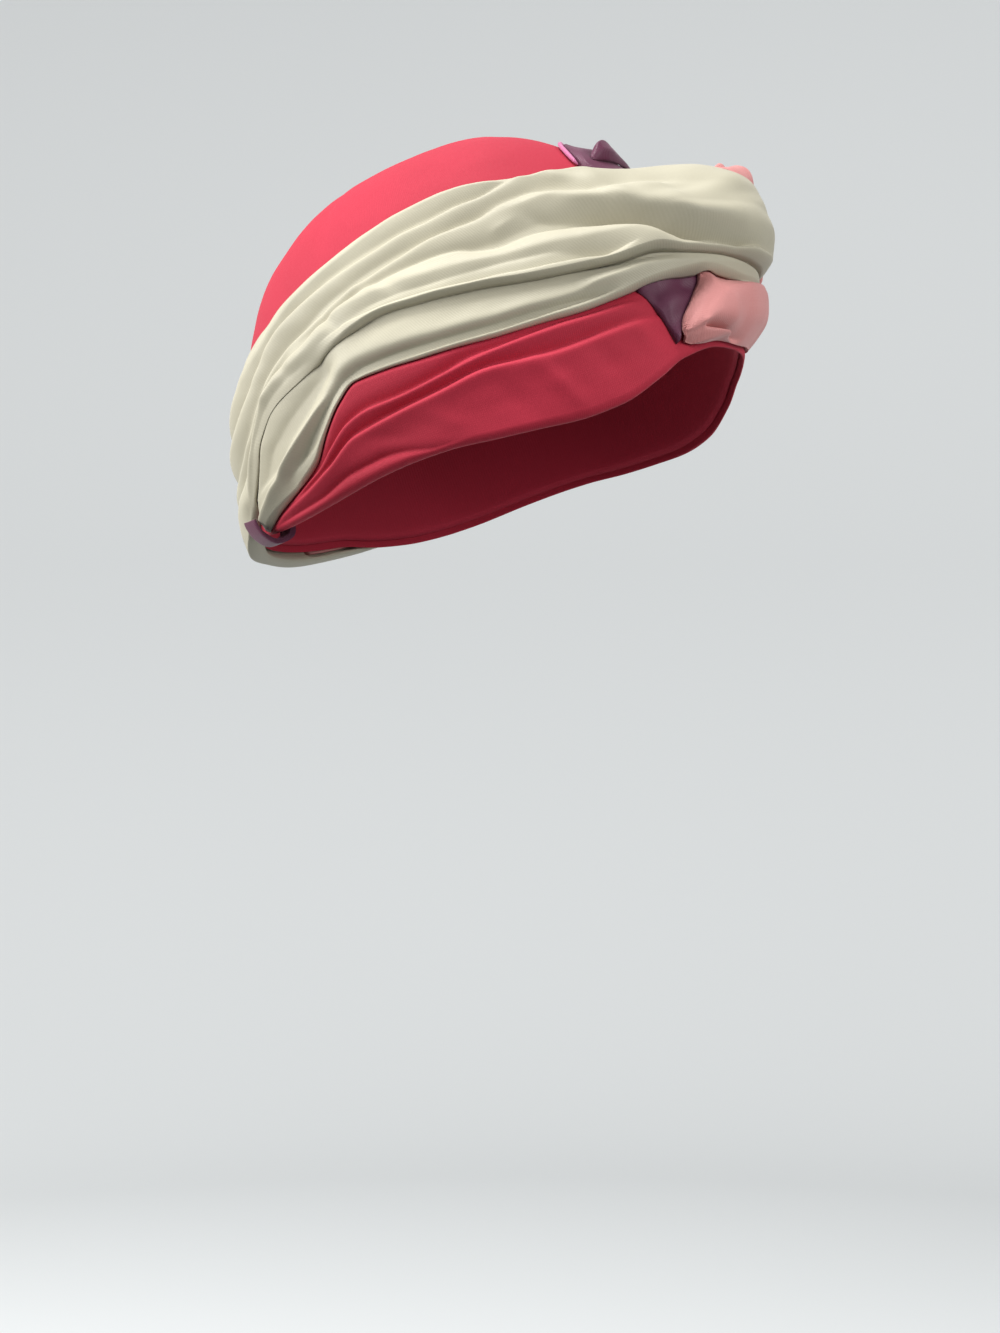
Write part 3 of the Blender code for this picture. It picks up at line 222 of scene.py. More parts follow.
SAGE_LOWER_FOLDS = {
    "broad fold": (
        (-6, 9.6, 0, 1.6, 1.2), (2, 10, 0.9, 1.8, 1.2), (6, 10.3, 1.4, 1.8, 1.4), (10, 10.7, 1.8, 2, 1.6),
        (14.3, 11.2, 2.3, 2, 2), (18, 11.8, 2.7, 2, 2.6), (22.5, 12.6, 3, 2.2, 3.4), (27, 13.4, 3.3, 2.2, 4.4),
        (31, 13.9, 3.5, 2.4, 5), (35.5, 13.8, 3.6, 2.8, 5), (40, 13.8, 3.6, 3.2, 4.6), (45.6, 13.2, 3, 3.6, 4),
        (51, 13.4, 3, 4.2, 3.4), (57, 14, 3, 4.8, 3), (63, 14.4, 3, 5.4, 3), (69, 15.2, 3.1, 5.8, 3),
        (75, 16, 3.2, 6.4, 3), (81, 16.9, 3.3, 7.4, 3), (88, 17.9, 3.6, 8.4, 3), (94, 18.5, 3.8, 8.4, 3),
        (101, 18.3, 4.2, 8.4, 3), (106, 17, 4.6, 8, 3.4), (110, 15, 5.2, 7.4, 3.8), (115, 12.8, 5.8, 3.8, 4.4),
        (120, 9.6, 6.4, 3.4, 4), (127, 5.2, 7.2, 3.4, 4), (133, 1.7, 7.2, 3.4, 4), (139, -0.9, 6.2, 3.4, 4),
        (144, -2.3, 4.4, 2.6, 3), (148.5, -2.6, 1, 2, 2),
    ),
    "edge groove": (
        (36, 11.4, 0, 1.8, 0.7), (44, 11.6, -3.6, 1.8, 0.7), (52, 12, -6, 1.7, 0.55), (57.4, 12.4, -7.4, 1.7, 0.55),
        (63.4, 12.8, -8.4, 1.7, 0.55), (69.5, 13.6, -9, 1.7, 0.55), (76, 14.5, -9.4, 1.8, 0.55),
        (82.5, 15.3, -9.6, 1.9, 0.55), (90, 16.2, -9.8, 2, 0.55), (97, 16.7, -9.8, 2.2, 0.55),
        (101, 16.8, -9.8, 2.4, 0.55), (105, 16, -9.4, 2.6, 0.55), (110, 13.6, -8.8, 3, 0.9),
        (114, 10.8, -8, 3.2, 1), (119, 7.4, -6.4, 3.4, 1.2), (124, 4.4, -3.4, 3.6, 1.4), (131, 0.4, 0, 3.6, 1.6),
    ),
    "valley": (
        (106, 22.5, 0, 6, 6), (112, 20.5, -2.5, 6, 6), (120, 16.6, -4, 4, 6), (127, 13.2, -4.6, 4, 6),
        (133, 10, -4.6, 4, 6), (138, 6.5, -3.8, 4, 5), (144, 2.5, -2, 5, 3), (147.5, 0.5, 0, 4, 3),
    ),
    "wedge": (
        (21, 13.6, 0, 1.6, 1), (27, 15.4, -2.6, 1.8, 0.9), (32, 16.8, -4.4, 2.6, 1.2), (38, 18.6, -3.6, 3.4, 2.4),
        (46, 20, -1, 3.6, 3), (54, 21, 0, 3.6, 3.2),
    ),
}

BROW_FOLDS = {
    "upper groove": (
        (26, 9.4, 0, 2.2, 0.9), (42, 8.6, -1.4, 2.8, 0.9), (51, 9.1, -2.2, 2.8, 0.9), (65, 9.2, -2.8, 2.8, 0.9),
        (73, 9.6, -3, 2.8, 0.9), (81, 8.6, -3.1, 2.8, 0.9), (93, 8, -3.2, 2.8, 0.9), (103, 8.4, -3, 2.8, 0.9),
        (109, 7.4, -2.8, 2.6, 0.9), (116, 3.6, -2.6, 2.2, 0.9), (121, 0.6, -2.3, 2, 0.9),
        (131, -1.8, -1.8, 1.8, 0.9), (146, -3.2, 0, 1.4, 0.9),
    ),
    "upper ridge": (
        (26, 8.2, 0, 1.7, 4), (42, 7.4, 1.3, 1.7, 4), (65, 7.9, 1.9, 1.7, 4), (81, 7.3, 2.2, 1.7, 3.4),
        (93, 6.8, 2.2, 1.7, 3), (103, 7.2, 2.2, 1.7, 3.4), (109, 6.2, 2.2, 1.7, 4), (116, 2.4, 2.2, 1.7, 4),
        (122, -0.8, 1.9, 1.7, 3), (133, -3, 1.3, 1.5, 2), (146, -3.8, 0, 1.5, 2),
    ),
    "lower groove": (
        (22, 4.6, 0, 1.8, 0.9), (33, 4.4, -1.5, 2.1, 0.9), (43, 3.8, -2.1, 2.3, 0.9), (53, 3.2, -2.4, 2.3, 0.9),
        (62, 4.1, -2.7, 2.3, 0.9), (72, 5.4, -3, 2.3, 0.9), (83, 4.6, -3, 2.3, 0.9), (95, 4.2, -3, 2.3, 0.9),
        (108, 3.4, -2.7, 2.1, 0.9), (118, -0.6, -2.4, 1.8, 0.9), (128, -3, -2, 1.6, 0.9), (144, -4.2, 0, 1.4, 0.9),
    ),
    "lower ridge": (
        (24, 3.4, 0, 1.7, 6), (36, 3, 1.3, 1.9, 6), (53, 1.9, 1.9, 1.9, 7), (72, 4, 2.4, 1.9, 7),
        (83, 3.3, 2.6, 1.9, 6), (95, 3, 2.6, 1.9, 5), (108, 2.2, 2.4, 1.9, 5), (118, -1.8, 2.1, 1.7, 4),
        (130, -4.2, 1.3, 1.5, 2.4), (144, -5, 0, 1.5, 2),
    ),
    "turned edge": (
        (80, -9, 0, 1.8, 1.4), (89, -8.4, -1, 1.8, 1.4), (98, -5.9, -1.8, 1.7, 1.1), (104, -4.9, -2.2, 1.7, 1.1),
        (113, -4.8, -2.2, 1.7, 1.1), (125, -6.4, -1.8, 1.6, 1), (136, -6, -1.2, 1.4, 1), (146, -5.2, 0, 1.1, 0.9),
    ),
}

ROSE_UPPER_FOLDS = {
    "first ridge": (
        (-166, 8.2, 0, 2.3, 4), (-152, 19.6, 1.9, 2.3, 4), (-138, 28, 2.4, 2.3, 4.5), (-120, 33.4, 2.6, 2.3, 4.5),
        (-98, 36.8, 2.6, 2.3, 4.5), (-78, 37, 2.4, 2.5, 4.5), (-58, 35.4, 1.9, 2.5, 4.5), (-40, 32.6, 1, 2.7, 4.5),
        (-28, 31, 0, 2.7, 4),
    ),
    "second ridge": (
        (-164, 5.4, 0, 2.3, 4), (-150, 12.6, 2.1, 2.3, 5), (-138, 20, 2.7, 2.3, 6), (-122, 27.4, 2.9, 2.5, 6),
        (-100, 32.4, 2.9, 2.5, 7), (-78, 32.6, 3, 2.5, 7), (-60, 31, 3.2, 2.7, 6), (-44, 28.4, 3.2, 3, 5),
        (-30, 25.6, 2.9, 2.4, 4), (-20, 24, 1.9, 3, 4), (-12, 25.8, 0, 3.8, 3),
    ),
    "side groove": (
        (-92, 29.4, 0, 2.9, 2.4), (-74, 28.6, -1.8, 2.9, 2.2), (-56, 27, -3.6, 2.9, 1.9),
        (-42, 24.2, -4.5, 2.6, 1.9), (-30, 21, -4.5, 2.4, 1.8), (-20, 18.6, -3.6, 2.2, 1.7),
        (-13, 20.6, 0, 1.9, 1.7),
    ),
    "third ridge": (
        (-160, 2.6, 0, 2.7, 3), (-146, 6.4, 1.9, 2.7, 4), (-132, 14.6, 1.9, 3, 5), (-110, 23.8, 1.6, 2.4, 5),
        (-88, 26.4, 1.6, 3, 5), (-66, 25.4, 2.2, 2.2, 5), (-48, 22.6, 2.9, 2.8, 5), (-32, 18.6, 2.9, 2.5, 5),
        (-20, 15.8, 2.2, 2.3, 4), (-13, 18.4, 0, 2.3, 3),
    ),
}

ROSE_LOWER_FOLDS = {
    "broad fold": (
        (-150, -1.6, 0, 2.1, 1.8), (-142, 1.4, 2.4, 3, 2.7), (-130, 8.8, 3.2, 4, 3.6), (-116, 16.4, 3.1, 5, 2.7),
        (-98, 20.6, 2.5, 6, 2.2), (-78, 19.8, 2.2, 6, 2.2), (-60, 17, 2.2, 5, 2.3), (-44, 14.6, 2.7, 2.4, 3.1),
        (-30, 12.4, 2.4, 2.1, 2.7), (-18, 10.8, 0, 1.8, 1.8),
    ),
    "edge groove": (
        (-128, 5, 0, 1.5, 1.1), (-118, 10.4, -1.8, 1.7, 1), (-108, 14.4, -3.3, 1.8, 0.9),
        (-96, 16.4, -4.2, 1.9, 0.9), (-80, 15.6, -3.9, 1.9, 0.9), (-64, 13.6, -3, 1.9, 0.9),
        (-50, 11.8, -1.5, 1.8, 1), (-40, 10.8, 0, 1.5, 1.1),
    ),
}

ROLL_FOLDS = {
    "curl": (
        (4, -2.4, 0, 1, 0.8), (7, -2.3, -3, 0.9, 0.7), (10, -2.1, -7, 0.9, 0.7), (13, -1.8, -9, 0.9, 0.7),
        (16, -1.3, -9.5, 0.9, 0.7), (18.5, -0.9, -8, 0.8, 0.7), (20.6, -0.6, -4.5, 0.7, 0.7),
        (22.2, -0.6, 0, 0.7, 0.7),
    ),
}

BORDER_FOLDS = {
    "upper fold": (
        (-154, 26.6, 0, 2.2, 4), (-136, 36.4, 1.8, 2.2, 4), (-110, 43.6, 2.4, 2.2, 4), (-80, 47.2, 2.7, 2.4, 5),
        (-50, 46.6, 3, 2.6, 5), (-24, 46, 2.7, 2.9, 5), (-4, 48.2, 2.1, 3.2, 5), (12, 47.4, 0, 3.2, 3),
    ),
    "lower fold": (
        (-150, 26, 0, 2.2, 3), (-130, 35, 1.8, 2.2, 3), (-100, 41.6, 2.2, 2.2, 3.5), (-70, 42.2, 2.7, 2.4, 4),
        (-44, 39, 3, 2.6, 4), (-24, 36.4, 2.7, 2.9, 4), (-6, 36.6, 1.2, 3.2, 4), (8, 38, 0, 3.2, 3),
    ),
}

# Soft dents and swells. Each row: azimuth, latitude, long reach, short reach, turn of the long reach, height.

CROWN_DENTS = (
    (116, 63, 20, 4.5, 74, -0.9), (108, 61, 18, 5, 74, 0.7), (60, 59, 16, 6, 28, -0.9), (48, 56, 14, 4, 18, 0.6),
    (134, 50, 14, 5, 60, -0.6), (88, 66, 22, 8, 20, 0.6), (150, 62, 18, 7, 80, -0.8), (-60, 62, 20, 6, -30, -0.8),
    (-110, 58, 18, 6, 60, -0.7), (-140, 50, 16, 6, 70, 0.6), (10, 70, 18, 6, 10, 0.6), (178, 48, 20, 8, 5, -0.7),
)

SAGE_DENTS = (
    (107, 31.5, 9, 3, 50, -1.1), (88, 33.6, 9, 3.2, 42, -1), (94, 35.6, 14, 3, 28, 0.7), (70, 36, 16, 3.6, 10, 0.5),
    (44, 32.4, 7, 2.4, 52, -0.9), (34, 40.2, 6, 2, 48, 1), (37, 39.4, 6, 2.4, 48, -0.8), (21.5, 28.6, 6, 4, 30, 1),
    (16, 25, 12, 3.2, 12, -1.2), (7, 23, 8, 3.4, 4, 1), (2, 20, 12, 2.6, 2, -0.7), (8, 17.4, 12, 2.4, 8, 0.6),
    (124, 24.6, 9, 3.4, 62, -0.9), (133, 22, 9, 3, 66, 0.6), (60, 29.6, 10, 3, 16, -0.5),
)

SAGE_LOWER_DENTS = (
    (132, 3.6, 12, 4, 66, -1.4), (60, 20.6, 16, 3.4, 8, -0.6), (84, 24.8, 16, 3, 6, -0.4),
    (112, 21.6, 9, 3, 58, -0.7), (40, 12.4, 12, 2.4, 6, -0.7),
)

BROW_DENTS = (
    (56, -4, 15, 3.6, 62, 1.2), (66, -5, 14, 5, 62, -0.8), (44, -2, 12, 5, 60, -0.7), (34, 0.4, 10, 4, 50, 0.5),
    (84, -3, 12, 4, 40, 0.6), (100, -1, 10, 3, 24, -0.5), (-50, -3, 15, 4, -60, 1), (-64, -4, 14, 5, -60, -0.8),
    (-90, -2, 12, 4, -30, 0.6),
)

ROSE_DENTS = (
    (-11, 27.4, 13, 8, 0, 6), (-100, 27.6, 10, 3.2, -46, -1), (-84, 30.4, 10, 3, -40, -0.9),
    (-70, 33.6, 14, 3.4, -12, 0.6), (-50, 31, 8, 2.6, -40, -0.8), (-34, 28.4, 10, 3.4, -16, 0.8),
    (-26, 22, 12, 3, -10, -0.8), (-124, 22, 9, 3.2, -60, -0.9),
)

BORDER_DENTS = (
    (0.5, 33, 10, 5, 0, 2), (-96, 44.6, 10, 3, -40, -0.9), (-60, 44, 10, 3, -30, -0.9),
    (-34, 42, 10, 3.4, -20, 0.8), (-12, 44, 9, 3, 24, -0.9), (4, 51.4, 8, 2.4, 30, -0.8),
)

ROLL_DENTS = (
    (21.5, -0.3, 2.6, 1.4, 10, 0.8), (8, 2, 14, 3.4, 70, -0.6), (15, 4.4, 10, 3.6, 66, 0.6),
    (3.6, 8.4, 2.6, 1.6, 80, -1.2), (-6, 1, 12, 3.6, 84, -0.8),
)

ROSE_LOWER_DENTS = ()

# A layer lies close at its foot: its reach and air there, and the band above the foot where it comes away.
CLOSE_REACH = 0.4
CLOSE_GAP = 0.15
CLOSE_BAND = (4.0, 0.5)

# Towards its ends a layer thins to this share of its thickness, over millimetres that are this share of a degree's.
END_THICKNESS = 0.2
END_SHORTENING = 0.85

# Azimuths between which the roll's strand fades in under the sashes, on the right and on the left.
STRAND_ENDS = ((36.0, 24.0), (-46.0, -34.0))

# Azimuth at which the lowest edge of the wrap passes from the rose sash to the sage one.
SASH_CHANGE = -10.0

# Each piece: the node that it stands for, and its dye.
PIECES = {
    "cap_crown": ("crown", "coral"),
    "brow_pleats": ("brow_band", "coral"),
    "plum_gusset": ("plum_fold", "plum"),
    "rose_roll": ("rose_strand", "rose"),
    "sage_sash_lower": ("sage_lower_wrap", "sage"),
    "rose_sash_lower": ("rose_lower_wrap", "rose"),
    "plum_edging": ("plum_border", "plum"),
    "plum_tuck": ("plum_pleat", "plum"),
    "violet_hem": ("border_hem", "violet"),
    "sage_sash_upper": ("sage_upper_wrap", "sage"),
    "rose_sash_upper": ("rose_upper_wrap", "rose"),
    "nape_keeper": ("nape_loop", "plum"),
}

# Each layer: corners from its top to its foot, how narrow a hollow it bridges, how far in its top, foot and ends
# round off, and its least thickness where that isn't the cloth's, in millimetres.
LAYERS = {
    "brow_pleats": (97, 1.0, 1.0, 4.2, 0.0, None),
    "plum_gusset": (41, 1.0, 1.0, 2.4, 2.0, 0.8),
    "sage_sash_lower": (121, 1.5, 6.0, 1.6, 2.0, None),
    "rose_sash_lower": (121, 1.5, 6.0, 1.6, 2.0, None),
    "plum_edging": (73, 1.5, 1.0, 1.2, 2.0, 1.2),
    "plum_tuck": (33, 1.0, 1.6, 1.6, 2.0, 0.5),
    "sage_sash_upper": (161, 1.5, 1.4, 1.2, 2.0, None),
    "rose_sash_upper": (121, 1.5, 1.2, 1.2, 5.0, None),
}

# Each dye: its material, the twill's rib (none on the knit), roughness, strength of painted thread shade, relief in
# metres, sheen.
FINISHES = {
    "coral": ("coral jersey", None, 0.75, 0.2, 0.00006, 0.05),
    "sage": ("sage twill", 0.3, 0.55, 0.08, 0.00003, 0.2),
    "rose": ("rose satin", 0.1, 0.5, 0.1, 0.00007, 0.2),
    "plum": ("plum satin", 0.1, 0.46, 0.15, 0.00007, 0.2),
    "violet": ("violet edging", 0.6, 0.42, 0.2, 0.0001, 0.3),
}

# Height map: cells per degree, the latitudes that it spans, and finer steps when a face is laid on it.
MAP_CELLS = 3
MAP_LATITUDES = (-20, 92)
MAP_STEPS = (5, 3)

# The height map as each group of pieces leaves it.
LAID = {"cover": None}

# Lights: name, place in metres, width.
STUDIO_LIGHTS = (
    ("top", (-0.3, 0.25, 1.5), 0.8),
    ("back", (-0.75, 1.3, 0.55), 1.0),
    ("front", (-0.45, -1.35, 0.55), 1.0),
)


def size(name):
    """One of the sizes that the user can change, in millimetres."""
    return getattr(bpy.context.scene.headwrap_sizes, name) * MM


def step_between(value, start, end):
    """0 at start, 1 at end, smooth in between."""
    part = np.clip((value - start) / (end - start), 0.0, 1.0)
    return part * part * (3 - 2 * part)


def swell(azimuth, latitude, middle_azimuth, middle_latitude, half_width, half_height):
    """A smooth bump, 1 in its middle."""
    turn = (azimuth - middle_azimuth + 180.0) % 360.0 - 180.0
    return np.exp(-((turn / half_width) ** 2) - ((latitude - middle_latitude) / half_height) ** 2)


def knot(shape, azimuth, latitude):
    """How far the knot lifts a cloth, from one of the knot's shapes."""
    rise, middle_azimuth, middle_latitude, aside, up, down = shape
    reach = np.where(latitude > middle_latitude, up, down)
    return rise * swell(azimuth, latitude, middle_azimuth, middle_latitude, aside, reach)


def form_radius(azimuth, latitude):
    """Distance from the origin to the cap's outer face, in millimetres."""
    around, up = np.radians(azimuth), np.radians(latitude)
    forward, aside = np.cos(up) * np.cos(around), np.cos(up) * np.sin(around)
    half_length = np.where(forward > 0, size("front_half"), size("back_half"))
    plan = np.abs(forward / half_length) ** PLAN_POWER + np.abs(aside / size("side_half")) ** PLAN_POWER
    rise = np.abs(np.sin(up) / size("crown_rise")) ** SIDE_POWER
    radius = (plan ** (SIDE_POWER / PLAN_POWER) + rise) ** (-1 / SIDE_POWER)
    for middle_azimuth, middle_latitude, half_width, half_height, out in FORM_SWELLS:
        bump = swell(azimuth, latitude, middle_azimuth, middle_latitude, half_width, half_height)
        radius = radius + out * bump * step_between(latitude, 89.0, 72.0)
    return radius


def placed(azimuth, latitude, lift):
    """Points in metres, from azimuth, latitude and lift."""
    tilt = bpy.context.scene.headwrap_sizes.brow_tilt
    around, up = np.radians(azimuth), np.radians(latitude)
    reach = (form_radius(azimuth, latitude) + lift) / MM
    forward, aside = reach * np.cos(up) * np.cos(around), reach * np.cos(up) * np.sin(around)
    above = reach * np.sin(up)
    x = -aside
    y = above * math.sin(tilt) - forward * math.cos(tilt)
    z = above * math.cos(tilt) + forward * math.sin(tilt)
    return np.stack(np.broadcast_arrays(x, y, z), axis=-1)


def rows_at(rows, azimuth):
    """The columns of a table at each azimuth, on a smooth curve through its rows that never overshoots."""
    table = np.array(sorted(rows), float)
    at, columns = table[:, 0], table[:, 1:]
    step = np.diff(at)[:, None]
    pitch = np.diff(columns, axis=0) / step
    slope = np.zeros_like(columns)
    slope[0], slope[-1] = pitch[0], pitch[-1]
    total = pitch[:-1] + pitch[1:]
    same_way = pitch[:-1] * pitch[1:] > 0
    slope[1:-1] = np.where(same_way, 2 * pitch[:-1] * pitch[1:] / np.where(same_way, total, 1), 0)
    azimuth = np.clip(azimuth, at[0], at[-1])
    row = np.clip(np.searchsorted(at, azimuth) - 1, 0, len(at) - 2)
    width = step[row][..., 0]
    part = (azimuth - at[row]) / width
    return (
        (2 * part**3 - 3 * part**2 + 1) * columns[row].T
        + (part**3 - 2 * part**2 + part) * width * slope[row].T
        + (3 * part**2 - 2 * part**3) * columns[row + 1].T
        + (part**3 - part**2) * width * slope[row + 1].T
    )


def curve_through(points, per_span):
    """A smooth curve through each section's points, (section, point, 2), with per_span steps between points."""
    ends = np.concatenate([points[:, :1], points, points[:, -1:]], axis=1)
    before, start, end, after = ends[:, :-3], ends[:, 1:-2], ends[:, 2:-1], ends[:, 3:]
    steps = [start]
    for step in range(1, per_span):
        part = step / per_span
        steps.append(
            0.5
            * (
                2 * start
                + (end - before) * part
                + (2 * before - 5 * start + 4 * end - after) * part**2
                + (3 * start - before - 3 * end + after) * part**3
            )
        )
    joined = np.stack(steps, axis=2).reshape(len(points), -1, 2)
    return np.concatenate([joined, points[:, -1:]], axis=1)


def section(*corners):
    """Corner points (latitude, lift) of every section, stacked as (section, point, 2)."""
    return np.stack([np.stack(np.broadcast_arrays(*corner), axis=-1) for corner in corners], axis=1)


def folds(table, azimuth, latitude):
    """The sum of a cloth's folds: crests and grooves along lines, each with its own fall above and below."""
    height = np.zeros_like(latitude)
    softness = 0.35
    for rows in table.values():
        line, rise, above, below = rows_at(rows, azimuth)[..., None]
        ahead, behind = rows_at(rows, azimuth + 0.5)[0], rows_at(rows, azimuth - 0.5)[0]
        slope = (ahead - behind)[:, None] / np.cos(np.radians(line))
        apart = MM_PER_DEGREE * (latitude - line) / np.sqrt(1 + slope**2)
        part = apart / np.where(apart > 0, above, below)
        height = height + rise * np.exp(softness - np.sqrt(part**2 + softness**2))
    return height


def dents(rows, azimuth, latitude):
    """The sum of a cloth's soft dents and swells."""
    height = np.zeros_like(latitude)
    for middle_azimuth, middle_latitude, long_reach, short_reach, turn, rise in rows:
        aside = (azimuth[:, None] - middle_azimuth + 180.0) % 360.0 - 180.0
        across = aside * MM_PER_DEGREE * math.cos(math.radians(middle_latitude))
        up = (latitude - middle_latitude) * MM_PER_DEGREE
        cosine, sine = math.cos(math.radians(turn)), math.sin(math.radians(turn))
        along, square = across * cosine + up * sine, up * cosine - across * sine
        height = height + rise * np.exp(-((along / long_reach) ** 2) - (square / short_reach) ** 2)
    return height


def creases(azimuth, latitude, depth, seed):
    """Small uneven waves, longer along the cloth than across it."""
    around = azimuth[:, None]
    height = np.zeros_like(latitude)
    for number in range(4):
        phase = seed * 1.7 + number * 2.3
        along = np.sin(np.radians(around) * (5 + 3 * number) + phase + 1.5 * np.sin(latitude * 0.21 + phase))
        height = height + along * np.sin(latitude * (0.42 + 0.23 * number) + phase * 1.9 + 0.05 * around)
    return depth * height / 4


# Height map of what has been laid so far


def bare_form():
    """The height map before anything is laid on the form: one lift per cell of azimuth and latitude."""
    return np.zeros((360 * MAP_CELLS, (MAP_LATITUDES[1] - MAP_LATITUDES[0]) * MAP_CELLS))


def finer(values, steps):
    """A grid with more steps each way, in straight lines between its own values."""
    for axis, count in enumerate(steps):
        last = values.shape[axis] - 1
        at = np.linspace(0, last, count * last + 1)
        low = np.minimum(at.astype(int), last - 1)
        part = at - low
        part = part[:, None] if axis == 0 else part[None, :]
        values = np.take(values, low, axis) * (1 - part) + np.take(values, low + 1, axis) * part
    return values


def heaped(cover, azimuth, latitude, lift):
    """The height map with one more face laid on it."""
    around = finer(np.broadcast_to(azimuth[:, None], latitude.shape), MAP_STEPS)
    row = np.floor(around * MAP_CELLS).astype(int) % len(cover)
    column = np.floor((finer(latitude, MAP_STEPS) - MAP_LATITUDES[0]) * MAP_CELLS).astype(int)
    heap = cover.copy()
    np.maximum.at(heap, (row, np.clip(column, 0, cover.shape[1] - 1)), finer(lift, MAP_STEPS))
    return heap


def shifted(values, aside, up):
    """The map moved by whole cells: round in azimuth, and held at its edges in latitude."""
    moved = np.roll(values, aside, axis=0)
    if up:
        columns = np.clip(np.arange(values.shape[1]) - up, 0, values.shape[1] - 1)
        moved = moved[:, columns]
    return moved


def draped(cover, reach):
    """The map as a cloth laid on it would lie, bridging hollows narrower than its reach in millimetres."""
    cells = max(1, round(reach * MAP_CELLS / MM_PER_DEGREE))
    for _ in range(cells):
        cover = np.maximum.reduce([shifted(cover, 1, 0), cover, shifted(cover, -1, 0)])
        cover = np.maximum.reduce([shifted(cover, 0, 1), cover, shifted(cover, 0, -1)])
    for _ in range(cells):
        cover = (shifted(cover, 1, 0) + 2 * cover + shifted(cover, -1, 0)) / 4
        cover = (shifted(cover, 0, 1) + 2 * cover + shifted(cover, 0, -1)) / 4
    return cover


def height_at(cover, azimuth, latitude):
    """The map's height at each point, in straight lines between its cells."""
    across = azimuth[:, None] * MAP_CELLS - 0.5 + np.zeros_like(latitude)
    up = np.clip((latitude - MAP_LATITUDES[0]) * MAP_CELLS - 0.5, 0, cover.shape[1] - 1.001)
    row, column = np.floor(across).astype(int), up.astype(int)
    share, part = across - row, up - column
    row, after = row % len(cover), (row + 1) % len(cover)
    near = cover[row, column] * (1 - share) + cover[after, column] * share
    far = cover[row, column + 1] * (1 - share) + cover[after, column + 1] * share
    return near * (1 - part) + far * part


# Cloth meshes


def spread(count, closeness=0.6):
    """Shares from 0 to 1, closer together at both ends."""
    part = np.linspace(0.0, 1.0, count)
    return part - closeness * np.sin(2 * np.pi * part) / (2 * np.pi)


def rounded(distance, radius):
    """0 at an edge and 1 from the radius inwards, along a quarter circle."""
    part = np.clip(distance / radius, 0.0, 1.0)
    return np.sqrt(1 - (1 - part) ** 2)


def eased_over(height, least, softness=0.5):
    """The height where it is more than the least one, and the least one elsewhere, with a soft change."""
    more = height - least
    return least + 0.5 * (more + np.sqrt(more**2 + softness**2))


def woven(name, points):
    """A closed cloth from rings of points, (section, corner, xyz), with a UV map in metres along the cloth."""
    node, dye = PIECES[name]
    sections, corners = points.shape[:2]
    across = np.linalg.norm(np.diff(points, axis=0), axis=2).mean(axis=1)
    along = np.linalg.norm(np.diff(points, axis=1), axis=2).mean(axis=0)
    across, along = np.insert(np.cumsum(across), 0, 0), np.insert(np.cumsum(along), 0, 0)
    maker = bmesh.new()
    bmesh.ops.create_grid(maker, x_segments=sections - 1, y_segments=corners - 1, size=0.5)
    places = [
        (round((vertex.co.x + 0.5) * (sections - 1)), round((vertex.co.y + 0.5) * (corners - 1)))
        for vertex in maker.verts
    ]
    maker.verts.index_update()
    lengths = maker.loops.layers.uv.new("cloth")
    for face in maker.faces:
        for loop in face.loops:
            row, corner = places[loop.vert.index]
            loop[lengths].uv = across[row], along[corner]
    for vertex, (row, corner) in zip(maker.verts, places):
        vertex.co = points[row, corner]
    bmesh.ops.remove_doubles(maker, verts=maker.verts, dist=1e-7)
    ends = bmesh.ops.holes_fill(maker, edges=[edge for edge in maker.edges if edge.is_boundary])["faces"]
    bmesh.ops.recalc_face_normals(maker, faces=maker.faces)
    if maker.calc_volume(signed=True) < 0:
        bmesh.ops.reverse_faces(maker, faces=maker.faces)
    for face in maker.faces:
        face.smooth = True
    for face in ends:
        face.smooth = False
    piece = linked(name, maker, bpy.data.materials[FINISHES[dye][0]])
    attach(piece, "root")
    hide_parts(node)
    return piece


def linked(name, maker, material):
    """The object of a finished bmesh, in the scene and in its material."""
    mesh = bpy.data.meshes.new(name)
    maker.to_mesh(mesh)
    maker.free()
    mesh.materials.append(material)
    piece = bpy.data.objects.new(name, mesh)
    bpy.context.scene.collection.objects.link(piece)
    return piece


def closed_round(*faces):
    """Faces whose first section is repeated as their last."""
    return [np.concatenate([face, face[:1]]) for face in faces]


def ring_points(azimuth, latitude, lift, inner_latitude, inner_lift):
    """Rings through an outer face from its top edge down and an inner face back up."""
    around = np.concatenate([latitude, inner_latitude[:, ::-1], latitude[:, :1]], axis=1)
    return placed(azimuth[:, None], around, np.concatenate([lift, inner_lift[:, ::-1], lift[:, :1]], axis=1))


